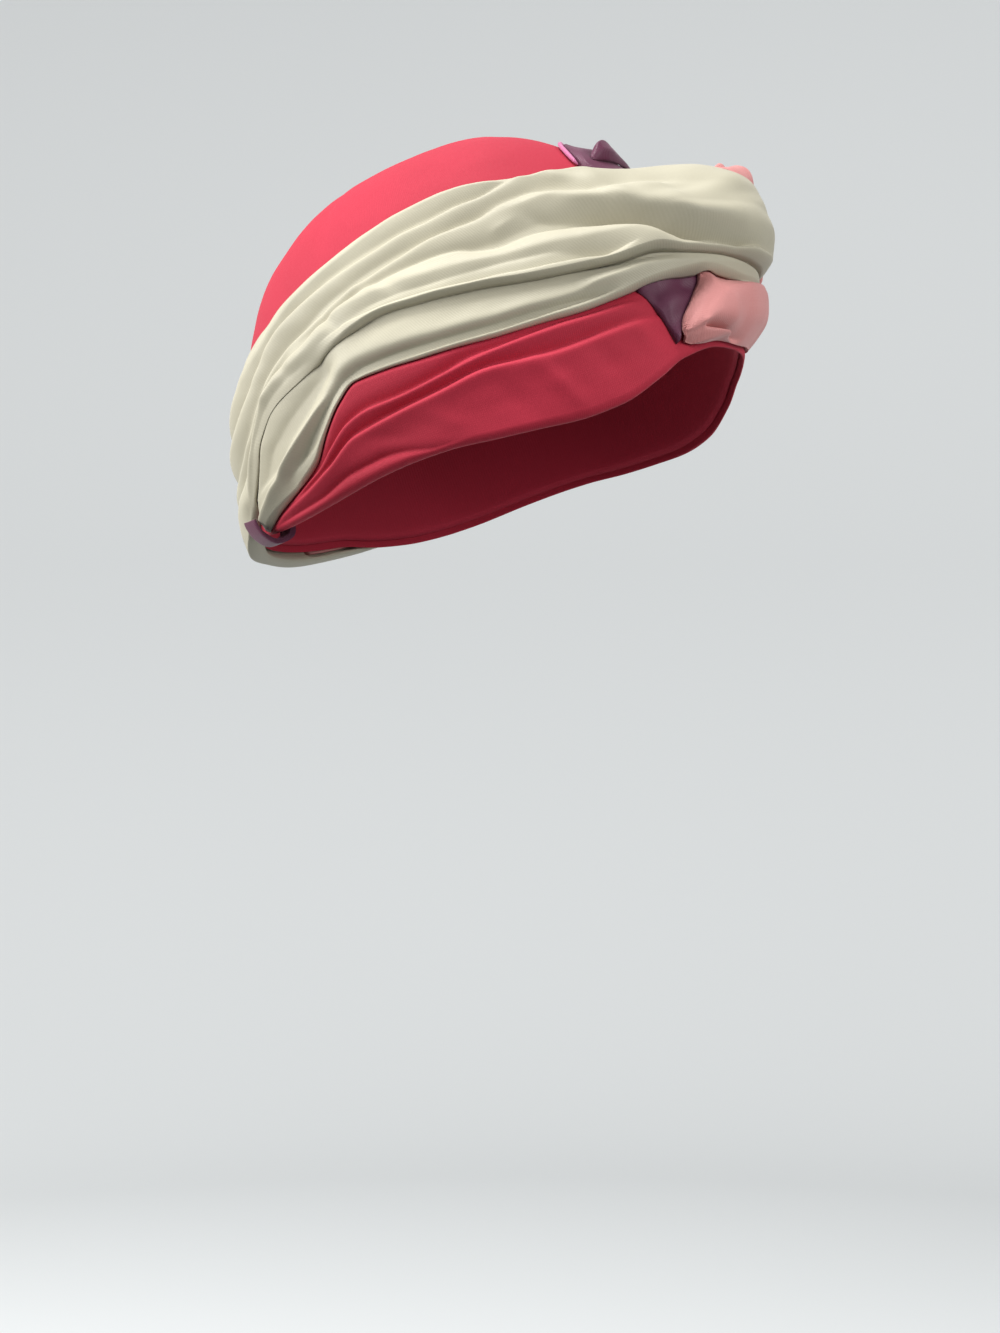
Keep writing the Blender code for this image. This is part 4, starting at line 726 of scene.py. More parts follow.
def layer(name, azimuth, top, foot, cover, standing, softer=(0.0, 0.0), thinner=0.0):
    """A wound layer: latitudes and lifts of its outer and inner faces.

    It bridges narrow hollows of the map beneath it, and its foot lies close. Softer says how much further in its
    top and its foot round off than its row in LAYERS says, and thinner how much less thick it may be.
    """
    count, reach, top_round, foot_round, end_round, least = LAYERS[name]
    least = (least or size("cloth")) - thinner
    under = draped(cover, reach) + size("layer_gap")
    close = draped(cover, CLOSE_REACH) + CLOSE_GAP

    def beneath(latitude):
        near = step_between(MM_PER_DEGREE * (latitude - foot[:, None]), *CLOSE_BAND)
        return (1 - near) * height_at(under, azimuth, latitude) + near * height_at(close, azimuth, latitude)

    latitude = top[:, None] + (foot - top)[:, None] * spread(count)
    resting = beneath(latitude)
    from_top, from_foot = MM_PER_DEGREE * (top[:, None] - latitude), MM_PER_DEGREE * (latitude - foot[:, None])
    thick = eased_over(standing(azimuth, latitude) - resting, least)
    thick = thick * rounded(from_top, top_round + softer[0]) * rounded(from_foot, foot_round + softer[1])
    if end_round:
        from_end = np.minimum(azimuth - azimuth[0], azimuth[-1] - azimuth)[:, None]
        from_end = END_SHORTENING * MM_PER_DEGREE * from_end
        thick = thick * (END_THICKNESS + (1 - END_THICKNESS) * rounded(from_end, end_round))
    inner_latitude = latitude[:, ::4]
    return latitude, resting + thick, inner_latitude, beneath(inner_latitude)


def laid(name, azimuth, faces, cover):
    """The piece made from a layer's faces, and the height map with it laid on."""
    return woven(name, ring_points(azimuth, *faces)), heaped(cover, azimuth, *faces[:2])


def brow_lines(azimuth):
    """The brow band's lines, which are the same on both sides."""
    return rows_at(BROW_ROWS, np.abs((azimuth + 180.0) % 360.0 - 180.0))


def wrap_foot(azimuth):
    """The lowest latitude that the sashes cover, all round."""
    right, left = rows_at(SAGE_LOWER_ROWS, azimuth)[-1], rows_at(ROSE_LOWER_ROWS, azimuth)[-1]
    return np.where(azimuth > SASH_CHANGE, right, left)


def over_strand(azimuth):
    """1 where the roll's strand passes under a sash, 0 away from the knot."""
    return step_between(azimuth, *STRAND_ENDS[0]) * step_between(azimuth, *STRAND_ENDS[1])


def make_crown():
    """The cap: a shell from just above the band's rim to the pole, with soft dents."""
    azimuth = np.arange(-180.0, 180.0, 2.0)
    rim = brow_lines(azimuth)[-1] + 1.5
    wall = size("cap_wall")
    latitude = 90.0 + (rim - 90.0)[:, None] * spread(81, 0.3)
    fade = step_between(latitude, 88.0, 74.0)
    outer = fade * (dents(CROWN_DENTS, azimuth, latitude) + creases(azimuth, latitude, 0.12, 1.0))
    edge = rounded(MM_PER_DEGREE * (latitude - rim[:, None]), 0.5 * wall)
    inner = outer[:, ::2] - wall * (0.5 + 0.5 * edge[:, ::2])
    outer = outer - 0.5 * wall * (1 - edge)
    around = np.concatenate([latitude, latitude[:, ::-2]], axis=1)
    points = placed(azimuth[:, None], around, np.concatenate([outer, inner[:, ::-1]], axis=1))
    piece = woven("cap_crown", *closed_round(points))
    return piece, heaped(bare_form(), np.append(azimuth, 180.0), *closed_round(latitude, outer))


def make_brow_band(cover):
    """The pleated band: ridges under two deep grooves, and a lower edge that turns in to the head."""
    azimuth = np.arange(-180.0, 180.0, 1.0)
    top, rim = brow_lines(azimuth)[[0, -1]]
    loose = step_between(azimuth, 22.0, 36.0) + step_between(azimuth, -34.0, -50.0)
    loose = (loose * step_between(np.abs(azimuth), 160.0, 138.0))[:, None]
    foot = wrap_foot(azimuth)[:, None]

    def standing(azimuth, latitude):
        out = loose * step_between(latitude, foot + 1.0, foot - 1.5)
        relief = folds(BROW_FOLDS, np.abs(azimuth), latitude) + dents(BROW_DENTS, azimuth, latitude)
        fullness = 0.8 * size("brow_pleat") + relief + creases(azimuth, latitude, 0.15, 2.0)
        return size("layer_gap") + size("cloth") + out * fullness

    faces = layer("brow_pleats", azimuth, top, rim, cover, standing)
    piece = woven("brow_pleats", *closed_round(ring_points(azimuth, *faces)))
    return piece, heaped(cover, np.append(azimuth, 180.0), *closed_round(*faces[:2]))


def make_gusset(cover):
    """The plum edge beside the roll, from under the sage sash down to a point."""
    azimuth = np.linspace(14.0, 31.0, 52)
    top, foot, full = rows_at(GUSSET_ROWS, azimuth)

    def standing(azimuth, latitude):
        part = np.clip((latitude - foot[:, None]) / 8.0, 0.0, 1.0)
        crease = 0.5 * np.sin(latitude * 0.9 + azimuth[:, None] * 0.35)
        crease = crease - 2.4 * swell(azimuth[:, None], latitude, 19.6, 9.0, 3.0, 2.0)
        return full[:, None] * (0.86 + 0.14 * part) + crease

    return laid("plum_gusset", azimuth, layer("plum_gusset", azimuth, top, foot, cover, standing), cover)


def from_outline(azimuth, latitude):
    """How far each point of the roll is inside the free edge of its lobe, in millimetres."""
    at = np.linspace(13.5, ROLL_ROWS[-1][0], 60)
    top, bottom = rows_at(ROLL_ROWS, at)[[0, 3]]
    around, up = np.concatenate([at, at[45:]]), np.concatenate([top, bottom[45:]])
    aside = (azimuth[:, None, None] - around) * np.cos(np.radians(up))
    above = latitude[..., None] - up
    return MM_PER_DEGREE * np.sqrt(aside**2 + above**2).min(axis=-1)


def make_roll(cover):
    """The gathered strand: flat under the sashes, then a padded roll whose free lobe curls under itself."""
    azimuth = np.concatenate([np.linspace(-36.0, 8.0, 50), 8.0 + 17.8 * rounded(np.linspace(0.03, 1.0, 80), 1.2)])
    top, crest, curl, bottom, lift = rows_at(ROLL_ROWS, azimuth)
    foot = wrap_foot(azimuth)
    shoulder = np.minimum(foot + 1.0, 0.5 * (top + crest))
    lobe = step_between(azimuth, 8.0, 15.0)

    def height(latitude):
        free = step_between(azimuth, 12.0, 16.0) * step_between(latitude, foot + 1.6, foot - 0.6)
        under_sash = np.minimum(2 * size("cloth") + knot(KNOT_UNDER, azimuth, latitude), lift)
        return (1 - free) * under_sash + free * lift

    corners = section(
        (top, height(top)),
        (0.5 * (top + shoulder), height(0.5 * (top + shoulder))),
        (shoulder, height(shoulder)),
        (0.4 * shoulder + 0.6 * crest, 0.3 * height(shoulder) + 0.7 * lift),
        *((a * crest + b * curl + c * bottom, (high + more * lobe) * lift) for a, b, c, high, more in ROLL_SECTION),
        (bottom + 0.1, (0.06 + 0.1 * lobe) * lift),
    )
    outer = curve_through(corners, 10)
    latitude, height = outer[..., 0], outer[..., 1]
    under = draped(cover, 1.0) + size("layer_gap")
    showing = step_between(latitude, foot[:, None] + 2.0, foot[:, None] - 1.0)
    relief = dents(ROLL_DENTS, azimuth, latitude) + creases(azimuth, latitude, 0.2, 3.0)
    height = height + showing * (relief + folds(ROLL_FOLDS, azimuth, latitude))
    resting = height_at(under, azimuth, latitude)
    free = step_between(azimuth, 12.0, 15.5)[:, None]
    inside = 1 - free * (1 - rounded(from_outline(azimuth, latitude), 9.0))
    height = resting + eased_over(inside * (height - resting), 0.8)
    inner_latitude = top[:, None] + (bottom + 0.3 - top)[:, None] * np.linspace(0, 1, 30)
    faces = (latitude, height, inner_latitude, height_at(under, azimuth, inner_latitude))
    piece, cover = laid("rose_roll", azimuth, faces, cover)
    return cover


def make_lower_layer(name, rows, fold_table, dent_rows, azimuth, cover):
    """A wound layer with one broad fold over a deep groove and a thin bright lip along its foot."""
    top, ridge, _, foot = rows_at(rows, azimuth)
    spread_out = np.clip((top - foot) / 12.0, 0.3, 1.0)[:, None]

    def standing(azimuth, latitude):
        resting = 2 * size("layer_gap") + size("cloth") * (1 + over_strand(azimuth)[:, None])
        share = 0.6 + 0.25 * step_between(latitude, top[:, None], ridge[:, None])
        fullness = 1.3 + folds(fold_table, azimuth, latitude) + dents(dent_rows, azimuth, latitude)
        fullness = fullness + creases(azimuth, latitude, 0.25, 4.0)
        return resting + 0.9 + fullness * spread_out + share * knot(KNOT_OF_SAGE, azimuth[:, None], latitude)

    return laid(name, azimuth, layer(name, azimuth, top, foot, cover, standing), cover)


def sash_relief(fold_table, dent_rows, azimuth, latitude, seed):
    """How far a sash's outer face stands in or out, from its folds, dents and creases."""
    height = folds(fold_table, azimuth, latitude) + dents(dent_rows, azimuth, latitude)
    return height + creases(azimuth, latitude, 0.3, seed)


def upper_fullness(lines, latitude, shoulder_rise, height):
    """How full an upper layer stands with its relief, less where it is narrow."""
    top, shoulder, lip = (line[:, None] for line in lines)
    spread_out = np.clip((top - lip) / 14.0, 0.12, 1.0)
    risen = 1.0 + shoulder_rise * step_between(latitude, top, shoulder)
    return 1.2 + (risen + height - 0.8) * spread_out


def lies_on(rows, azimuth, latitude):
    """1 on the covered top of a lower layer, 0 above it."""
    top = rows_at(rows, azimuth)[0][:, None]
    return step_between(latitude, top + 5.0, top + 1.0)


def sage_resting(azimuth, latitude):
    """What lies beneath the sage upper layer."""
    behind = step_between(azimuth, 146.0, 154.0)[:, None]
    on_lower = lies_on(SAGE_LOWER_ROWS, azimuth, latitude) * (1 - behind)
    on_band = step_between(latitude, 9.0, 5.0) * behind
    on_tail = step_between(azimuth, 176.0, 196.0)[:, None]
    on_strand = size("cloth") * over_strand(azimuth)[:, None]
    return 1.0 + 2.6 * on_lower + size("cloth") * on_band * (1 - on_tail) + 5.0 * on_tail + on_strand


def sage_upper_faces(cover, azimuth):
    """The sage upper layer, whose lip is soft at the nape and whose front end turns under."""
    lines = rows_at(SAGE_UPPER_ROWS, azimuth)
    lip = lines[-1][:, None]
    near_nape = swell(azimuth, 0.0, 128.0, 0.0, 16.0, 1.0)[:, None]
    ending = step_between(azimuth, -1.0, -16.0)[:, None]

    def standing(azimuth, latitude):
        height = sash_relief(SAGE_UPPER_FOLDS, SAGE_DENTS, azimuth, latitude, 5.0)
        full = upper_fullness(lines, latitude, 3.6, height)
        full = full * (1 - near_nape * step_between(latitude, lip + 4.5, lip))
        around = azimuth[:, None]
        lift = (1 - ending) * knot(KNOT_OF_SAGE, around, latitude) + ending * knot(KNOT_UNDER, around, latitude)
        return sage_resting(azimuth, latitude) + full + lift

    softer, thinner = (0.0, 5.0 * near_nape), 1.1 * near_nape
    return layer("sage_sash_upper", azimuth, lines[0], lines[-1], cover, standing, softer, thinner)


def rose_upper_faces(cover, azimuth):
    """The rose upper layer, whose front edge is folded over softly beside the knot."""
    lines = rows_at(ROSE_UPPER_ROWS, azimuth)
    front = step_between(azimuth, -20.0, -10.0)[:, None]

    def standing(azimuth, latitude):
        on_lower = lies_on(ROSE_LOWER_ROWS, azimuth, latitude) * step_between(azimuth, -152.0, -146.0)[:, None]
        resting = 1.5 + size("cloth") + 2.6 * on_lower
        height = sash_relief(ROSE_UPPER_FOLDS, ROSE_DENTS, azimuth, latitude, 6.0)
        full = upper_fullness(lines, latitude, 1.7, height)
        return resting + full + knot(KNOT_OF_ROSE, azimuth[:, None], latitude)

    softer = 3.0 * front, 6.0 * front
    return layer("rose_sash_upper", azimuth, lines[0], lines[-1], cover, standing, softer)


def make_border(cover):
    """The border lies on the cap at its hem and climbs to the top of the knot at its foot."""
    azimuth = np.concatenate([np.arange(-160.0, 8.0, 1.2), np.linspace(8.0, 19.6, 24)])
    hem, middle, foot, climb = rows_at(BORDER_ROWS, azimuth)

    def standing(azimuth, latitude):
        rise = step_between(latitude, hem[:, None], (0.6 * hem + 0.4 * middle)[:, None])
        climbing = climb[:, None] * knot(KNOT_OF_ROSE, azimuth[:, None], latitude)
        return 2.1 + rise * (1.6 + sash_relief(BORDER_FOLDS, BORDER_DENTS, azimuth, latitude, 7.0)) + climbing

    faces = layer("plum_edging", azimuth, hem, foot, cover, standing)
    return *laid("plum_edging", azimuth, faces, cover), heaped(bare_form(), azimuth, *faces[:2])


def make_pleat(border):
    """A standing pleat on the border, beside the knot."""
    azimuth = np.linspace(-26.0, 15.0, 60)
    top, foot, height = rows_at(PLEAT_ROWS, azimuth)

    def standing(azimuth, latitude):
        part = (latitude - foot[:, None]) / (top - foot)[:, None]
        return height_at(border, azimuth, latitude) + 0.5 + height[:, None] * (0.9 + 0.5 * part)

    return woven("plum_tuck", ring_points(azimuth, *layer("plum_tuck", azimuth, top, foot, border, standing)))


def unit(vectors):
    """The vectors at a length of 1."""
    return vectors / np.linalg.norm(vectors, axis=1)[:, None]


def tube_points(route, radius, sides):
    """Rings of a tube round a route of points in metres."""
    heading = unit(np.gradient(route, axis=0))
    aside = unit(np.cross(heading, unit(route)))
    outwards = np.cross(aside, heading)
    turn = np.linspace(0, 2 * np.pi, sides + 1)
    turn[-1] = 0.0
    cosine, sine = np.cos(turn)[None, :, None], np.sin(turn)[None, :, None]
    return route[:, None] + radius[:, None, None] * (aside[:, None] * cosine + outwards[:, None] * sine)


def make_hem():
    """The rolled hem: a thin tube just outside the border's edge."""
    azimuth = np.concatenate([np.arange(-136.0, 0.0, 1.5), np.linspace(0.0, 19.0, 30)])
    hem = rows_at(BORDER_ROWS, azimuth)[0]
    along = np.stack([azimuth * np.cos(np.radians(hem)), hem], axis=-1)
    heading = unit(np.gradient(along, axis=0))
    clear = np.degrees((size("hem_radius") + 0.3) / form_radius(azimuth, hem))
    route = along + clear[:, None] * np.stack([-heading[:, 1], heading[:, 0]], axis=-1)
    at = route[:, 0] / np.cos(np.radians(route[:, 1]))
    middle = placed(at, route[:, 1], 0.5 + size("hem_radius"))
    from_end = np.minimum(np.arange(len(at)), np.arange(len(at))[::-1])
    radius = bpy.context.scene.headwrap_sizes.hem_radius * (0.4 + 0.6 * rounded(from_end, 3.0))
    return woven("violet_hem", tube_points(middle, radius, 12))


def make_loop():
    """A band that hooks over the gathered end of the lower layer and round the rim to the inside."""
    azimuth = np.linspace(*LOOP_AZIMUTHS, 24)
    rim = brow_lines(azimuth)[-1]
    from_side = np.minimum(azimuth - azimuth[0], azimuth[-1] - azimuth) * MM_PER_DEGREE
    thin = (1 - rounded(from_side, 1.4)) * 0.45
    outer = curve_through(section(*((rim + above, lift - thin) for above, lift in LOOP_OUTER)), 6)
    inner = curve_through(section(*((rim + above, lift + thin) for above, lift in LOOP_INNER[::-1])), 6)
    faces = (outer[..., 0], outer[..., 1], inner[..., 0], inner[..., 1])
    return woven("nape_keeper", ring_points(azimuth, *faces))


# Finishes


def new_group(name, inputs, outputs):
    """An empty shader group with its sockets, then its inputs and outputs as seen from inside."""
    tree = bpy.data.node_groups.new(name, "ShaderNodeTree")
    for label, kind, default in inputs:
        socket = tree.interface.new_socket(name=label, in_out="INPUT", socket_type=f"NodeSocket{kind}")
        if default is not None:
            socket.default_value = default
    for label, kind in outputs:
        tree.interface.new_socket(name=label, in_out="OUTPUT", socket_type=f"NodeSocket{kind}")
    return tree, tree.nodes.new("NodeGroupInput").outputs, tree.nodes.new("NodeGroupOutput").inputs


def put(tree, kind, inputs=(), **settings):
    """A node with its settings, whose inputs are numbers or other nodes' outputs."""
    made = tree.nodes.new(f"ShaderNode{kind}")
    for name, value in settings.items():
        setattr(made, name, value)
    for name, value in dict(inputs).items():
        if isinstance(value, bpy.types.NodeSocket):
            tree.links.new(value, made.inputs[name])
        else:
            made.inputs[name].default_value = value
    return made


def calculated(tree, operation, first, second=0.0, third=0.0):
    """The output of a Math node."""
    return put(tree, "Math", {0: first, 1: second, 2: third}, operation=operation).outputs[0]


def blended(tree, share, first, second):
    """The output of a Mix node between two colours."""
    colour_a, colour_b, mixed = 6, 7, 2
    made = put(tree, "Mix", {0: share, colour_a: first, colour_b: second}, data_type="RGBA")
    return made.outputs[mixed]


def noise(tree, where, scale, detail):
    """The output of a Noise Texture node."""
    return put(tree, "TexNoise", {"Vector": where, "Scale": scale, "Detail": detail}).outputs["Fac"]


def between(tree, value, low, high):
    """0 where a value is low and 1 where it is high."""
    return put(tree, "MapRange", {"Value": value, "From Min": low, "From Max": high}).outputs["Result"]


def wave(tree, value, pitch):
    """A sine of a length in metres, 0 to 1, that repeats at each pitch."""
    turns = calculated(tree, "DIVIDE", value, pitch)
    angle = calculated(tree, "MULTIPLY", turns, 2 * math.pi)
    return calculated(tree, "MULTIPLY_ADD", calculated(tree, "SINE", angle), 0.5, 0.5)


def jersey_group():
    """A fine knit: columns of small V-shaped loops, from a coordinate in metres."""
    tree, given, result = new_group(
        "Jersey knit",
        (("Coordinate", "Vector", None), ("Loop width", "Float", 0.0008)),
        (("Height", "Float"), ("Shade", "Float")),
    )
    maths = partial(calculated, tree)
    place = put(tree, "SeparateXYZ", {0: given["Coordinate"]}).outputs
    column = maths("DIVIDE", place["X"], given["Loop width"])
    aside = maths("PINGPONG", column, 0.5)
    course = maths("DIVIDE", place["Y"], given["Loop width"])
    loop = wave(tree, maths("MULTIPLY_ADD", aside, 1.4, maths("MULTIPLY", course, 1.25)), 1.0)
    groove = maths("POWER", maths("MULTIPLY", aside, 2.0), 0.6)
    height = maths("MULTIPLY", maths("MULTIPLY_ADD", loop, 0.6, 0.4), groove)
    tree.links.new(height, result["Height"])
    # The height is also the mask of painted shade between the loops.
    tree.links.new(height, result["Shade"])
    return tree


def twill_group():
    """A fine twill: slanted lines crossed by finer threads, from a coordinate in metres."""
    tree, given, result = new_group(
        "Twill weave",
        (("Coordinate", "Vector", None), ("Line pitch", "Float", 0.0011), ("Rib", "Float", 0.3)),
        (("Height", "Float"), ("Shade", "Float")),
    )
    maths = partial(calculated, tree)
    place = put(tree, "SeparateXYZ", {0: given["Coordinate"]}).outputs
    along, across, pitch = place["X"], place["Y"], given["Line pitch"]
    slant = wave(tree, maths("MULTIPLY_ADD", across, 0.6, along), pitch)
    thread = wave(tree, across, maths("MULTIPLY", pitch, 0.5))
    lines = maths("MULTIPLY_ADD", slant, 0.7, maths("MULTIPLY", thread, 0.3))
    rib = wave(tree, along, maths("MULTIPLY", pitch, 1.1))
    shown = between(tree, noise(tree, given["Coordinate"], 32.0, 1.0), 0.48, 0.66)
    ribbed = maths("MULTIPLY", maths("MULTIPLY", rib, shown), given["Rib"])
    height = maths("ADD", lines, ribbed)
    tree.links.new(height, result["Height"])
    # The height is also the mask of painted shade between the threads.
    tree.links.new(height, result["Shade"])
    return tree


def tone_group():
    """Uneven dye in broad patches of a deeper tone and fine mottling, plus painted shade that darkens the colour
    between the threads.
    """
    tree, given, result = new_group(
        "Cloth tone",
        (
            ("Color", "Color", (0.5, 0.5, 0.5, 1.0)),
            ("Deep color", "Color", (0.3, 0.3, 0.3, 1.0)),
            ("Unevenness", "Float", 0.3),
            ("Thread shade", "Float", 0.5),
            ("Thread contrast", "Float", 0.15),
            ("Roughness", "Float", 0.6),
        ),
        (("Color", "Color"), ("Roughness", "Float"), ("Grain", "Float")),
    )
    maths = partial(calculated, tree)
    where = put(tree, "TexCoord").outputs["Object"]
    broad, fine = noise(tree, where, 14.0, 2.0), noise(tree, where, 900.0, 2.0)
    share = maths("MULTIPLY", between(tree, broad, 0.35, 0.7), given["Unevenness"])
    # Painted shade: where the weave is low between its threads, the colour moves towards the deep one.
    threads = maths("MULTIPLY", maths("SUBTRACT", 1.0, given["Thread shade"]), given["Thread contrast"])
    mottling_and_thread_shade = maths("MULTIPLY_ADD", fine, 0.12, maths("ADD", share, threads))
    rough = maths("MULTIPLY_ADD", fine, 0.14, maths("SUBTRACT", given["Roughness"], 0.07))
    tree.links.new(blended(tree, mottling_and_thread_shade, given["Color"], given["Deep color"]), result["Color"])
    tree.links.new(rough, result["Roughness"])
    tree.links.new(fine, result["Grain"])
    return tree


def cloth_material(name, colour, deep, weave, weave_inputs, roughness, contrast, relief, sheen):
    """A woven or knitted cloth: its tone with painted shade between the threads, its weave's relief, and the soft
    light on its raised fibres.
    """
    tree, shader = new_material(name)
    place = put(tree, "UVMap", uv_map="cloth").outputs["UV"]
    threads = put(tree, "Group", {"Coordinate": place, **weave_inputs}, node_tree=weave).outputs
    # Painted shade: the weave's Shade darkens the base colour between the threads, as strongly as the thread
    # contrast says.
    tones = {
        "Color": (*colour, 1.0),
        "Deep color": (*deep, 1.0),
        "Thread shade": threads["Shade"],
        "Thread contrast": contrast,
        "Roughness": roughness,
    }
    tone = put(tree, "Group", tones, node_tree=bpy.data.node_groups["Cloth tone"]).outputs
    height = calculated(tree, "MULTIPLY_ADD", tone["Grain"], 0.35, threads["Height"])
    bump = put(tree, "Bump", {"Strength": 1.0, "Distance": relief, "Height": height})
    tree.links.new(tone["Color"], shader["Base Color"])
    tree.links.new(tone["Roughness"], shader["Roughness"])
    tree.links.new(bump.outputs["Normal"], shader["Normal"])
    shader["Specular IOR Level"].default_value = 0.25
    shader["Sheen Weight"].default_value = sheen
    shader["Sheen Roughness"].default_value = 0.45
    shader["Sheen Tint"].default_value = (*(0.5 + 0.5 * value for value in colour), 1.0)


def new_material(name):
    """A material's node tree and the inputs of its shader."""
    material = bpy.data.materials.new(name)
    material.use_nodes = True
    return material.node_tree, material.node_tree.nodes["Principled BSDF"].inputs


def make_finishes():
    """The five cloths, once."""
    if bpy.data.node_groups.get("Cloth tone"):
        return
    given = bpy.context.scene.headwrap_colours
    jersey, twill = jersey_group(), twill_group()
    tone_group()
    for dye, (name, rib, *finish) in FINISHES.items():
        weave = jersey, {"Loop width": given.loop_width}
        if rib is not None:
            weave = twill, {"Line pitch": given.twill_pitch, "Rib": rib}
        cloth_material(name, getattr(given, dye), getattr(given, f"{dye}_deep"), *weave, *finish)


# Sizes and colours


def amount(name, description, default, **kind):
    """A number that the user can change."""
    return FloatProperty(name=name, description=description, default=default, **kind)


def length(name, description, default):
    return amount(name, description, default, min=0.0, precision=5, unit="LENGTH")


def angle(name, description, degrees):
    return amount(name, description, math.radians(degrees), subtype="ANGLE", unit="ROTATION")


def colour(name, description, default):
    return FloatVectorProperty(
        name=name, description=description, default=default, size=3, min=0.0, max=1.0, subtype="COLOR"
    )


class HeadwrapSizes(bpy.types.PropertyGroup):
    front_half: length("Front half", "From the middle of the head opening to the cap's front", 0.104)
    back_half: length("Back half", "From the middle of the head opening to the cap's back", 0.108)
    side_half: length("Side half", "From the middle of the head opening to the cap's side", 0.082)
    crown_rise: length("Crown rise", "Height of the cap above the plane of its rim", 0.120)
    brow_tilt: angle("Brow tilt", "How far the plane of the rim rises towards the brow", 21.0)
    cap_wall: length("Cap wall", "Thickness of the cap", 0.002)
    cloth: length("Cloth", "Least thickness of a wound layer", 0.0014)
    layer_gap: length("Layer gap", "Air between one layer and the next", 0.0004)
    brow_pleat: length("Brow pleat", "How far the brow band's pleats stand out", 0.0032)
    hem_radius: length("Hem radius", "Half the thickness of the border's rolled hem", 0.0009)


class HeadwrapColours(bpy.types.PropertyGroup):
    # Each deep colour is the deeper tone of the dye's uneven patches, and also the painted shade between the
    # threads.
    coral: colour("Coral", "Cap and brow band", (0.44, 0.022, 0.048))
    coral_deep: colour("Coral, deep", "Cap and brow band between the threads", (0.26, 0.010, 0.020))
    sage: colour("Sage", "Sage sash", (0.46, 0.43, 0.325))
    sage_deep: colour("Sage, deep", "Sage sash between the threads", (0.28, 0.255, 0.19))
    rose: colour("Rose", "Rose sash and roll", (0.62, 0.265, 0.25))
    rose_deep: colour("Rose, deep", "Rose sash between the threads", (0.48, 0.16, 0.15))
    plum: colour("Plum", "Border, gusset and loop", (0.11, 0.022, 0.055))
    plum_deep: colour("Plum, deep", "Plum cloth between the threads", (0.05, 0.012, 0.026))
    violet: colour("Violet", "Rolled hem", (0.52, 0.15, 0.30))
    violet_deep: colour("Violet, deep", "Rolled hem between the threads", (0.28, 0.06, 0.14))
    loop_width: length("Loop width", "Width of one column of the knit", 0.0008)
    twill_pitch: length("Twill pitch", "Distance between the lines of the twill", 0.0011)


class HeadwrapStudio(bpy.types.PropertyGroup):
    floor_drop: length("Floor drop", "From the head opening down to the floor", 0.65)
    camera_distance: length("Camera distance", "From the camera to the head opening, along its view", 0.9)
    camera_turn: angle("Camera turn", "Turn of the view from straight across the wearer's right side", 20.0)
    camera_drop: length("Camera drop", "How far the camera is below the head opening", 0.0929)
    view_height: length("View height", "Height of the frame at the head opening", 0.5465)
    top_power: amount("Top light", "Power of the overhead light, in watts", 29.5)
    back_power: amount("Back light", "Power of the light behind the wearer", 34.0)
    front_power: amount("Front light", "Power of the light before the wearer", 15.0)
    world_light: amount("World light", "Strength of the even light", 0.29)
    floor_colour: colour("Floor", "Floor and backdrop", (0.70, 0.717, 0.715))
    floor_glow: amount("Floor glow", "Even light that the floor and backdrop give", 0.10)


# Operators


class HEADWRAP_OT_crown_and_band(bpy.types.Operator):
    """Make the cap and the pleated brow band"""

    bl_idname = "headwrap.crown_and_band"
    bl_label = "Cap and brow band"

    def execute(self, context):
        make_finishes()
        crown, cover = make_crown()
        band, LAID["cover"] = make_brow_band(cover)
        return {"FINISHED"}


class HEADWRAP_OT_roll(bpy.types.Operator):
    """Make the plum gusset and the padded rose roll under the knot"""

    bl_idname = "headwrap.roll"
    bl_label = "Gusset and roll"

    def execute(self, context):
        make_finishes()
        gusset, cover = make_gusset(LAID["cover"])
        LAID["cover"] = make_roll(cover)
        return {"FINISHED"}


class HEADWRAP_OT_lower_layers(bpy.types.Operator):
    """Make the lower layers of the two sashes"""

    bl_idname = "headwrap.lower_layers"
    bl_label = "Lower layers of the sashes"

    def execute(self, context):
        make_finishes()
        right = np.concatenate([np.arange(-12.0, 106.0, 1.0), np.linspace(106.0, 148.5, 54)])
        tables = SAGE_LOWER_ROWS, SAGE_LOWER_FOLDS, SAGE_LOWER_DENTS
        sage, cover = make_lower_layer("sage_sash_lower", *tables, right, LAID["cover"])
        left = np.arange(-152.0, -17.9, 1.0)
        tables = ROSE_LOWER_ROWS, ROSE_LOWER_FOLDS, ROSE_LOWER_DENTS
        rose, LAID["cover"] = make_lower_layer("rose_sash_lower", *tables, left, cover)
        return {"FINISHED"}


class HEADWRAP_OT_border(bpy.types.Operator):
    """Make the plum border, its tuck and its rolled hem"""

    bl_idname = "headwrap.border"
    bl_label = "Border and hem"

    def execute(self, context):
        make_finishes()
        border, LAID["cover"], border_map = make_border(LAID["cover"])
        make_pleat(border_map)
        make_hem()
        return {"FINISHED"}


class HEADWRAP_OT_upper_layers(bpy.types.Operator):
    """Make the upper layers of the two sashes: the sage one lies on the rose one's tail and under its front edge"""

    bl_idname = "headwrap.upper_layers"
    bl_label = "Upper layers of the sashes"

    def execute(self, context):
        make_finishes()
        cover = LAID["cover"]
        tail = np.arange(-168.0, -97.0, 1.0)
        behind = heaped(cover, tail, *rose_upper_faces(cover, tail)[:2])
        around = np.concatenate([np.linspace(-26.0, 30.0, 76), np.linspace(30.8, 226.0, 240)])
        faces = sage_upper_faces(behind, around)
        woven("sage_sash_upper", ring_points(around, *faces))
        ahead = heaped(cover, around, *faces[:2])
        under_tail = slice(*(azimuth * MAP_CELLS % (360 * MAP_CELLS) for azimuth in (-180, -98)))
        ahead[under_tail] = cover[under_tail]
        around = np.concatenate([np.arange(-168.0, -22.0, 1.0), np.linspace(-22.0, -4.0, 54)])
        woven("rose_sash_upper", ring_points(around, *rose_upper_faces(ahead, around)))
        return {"FINISHED"}


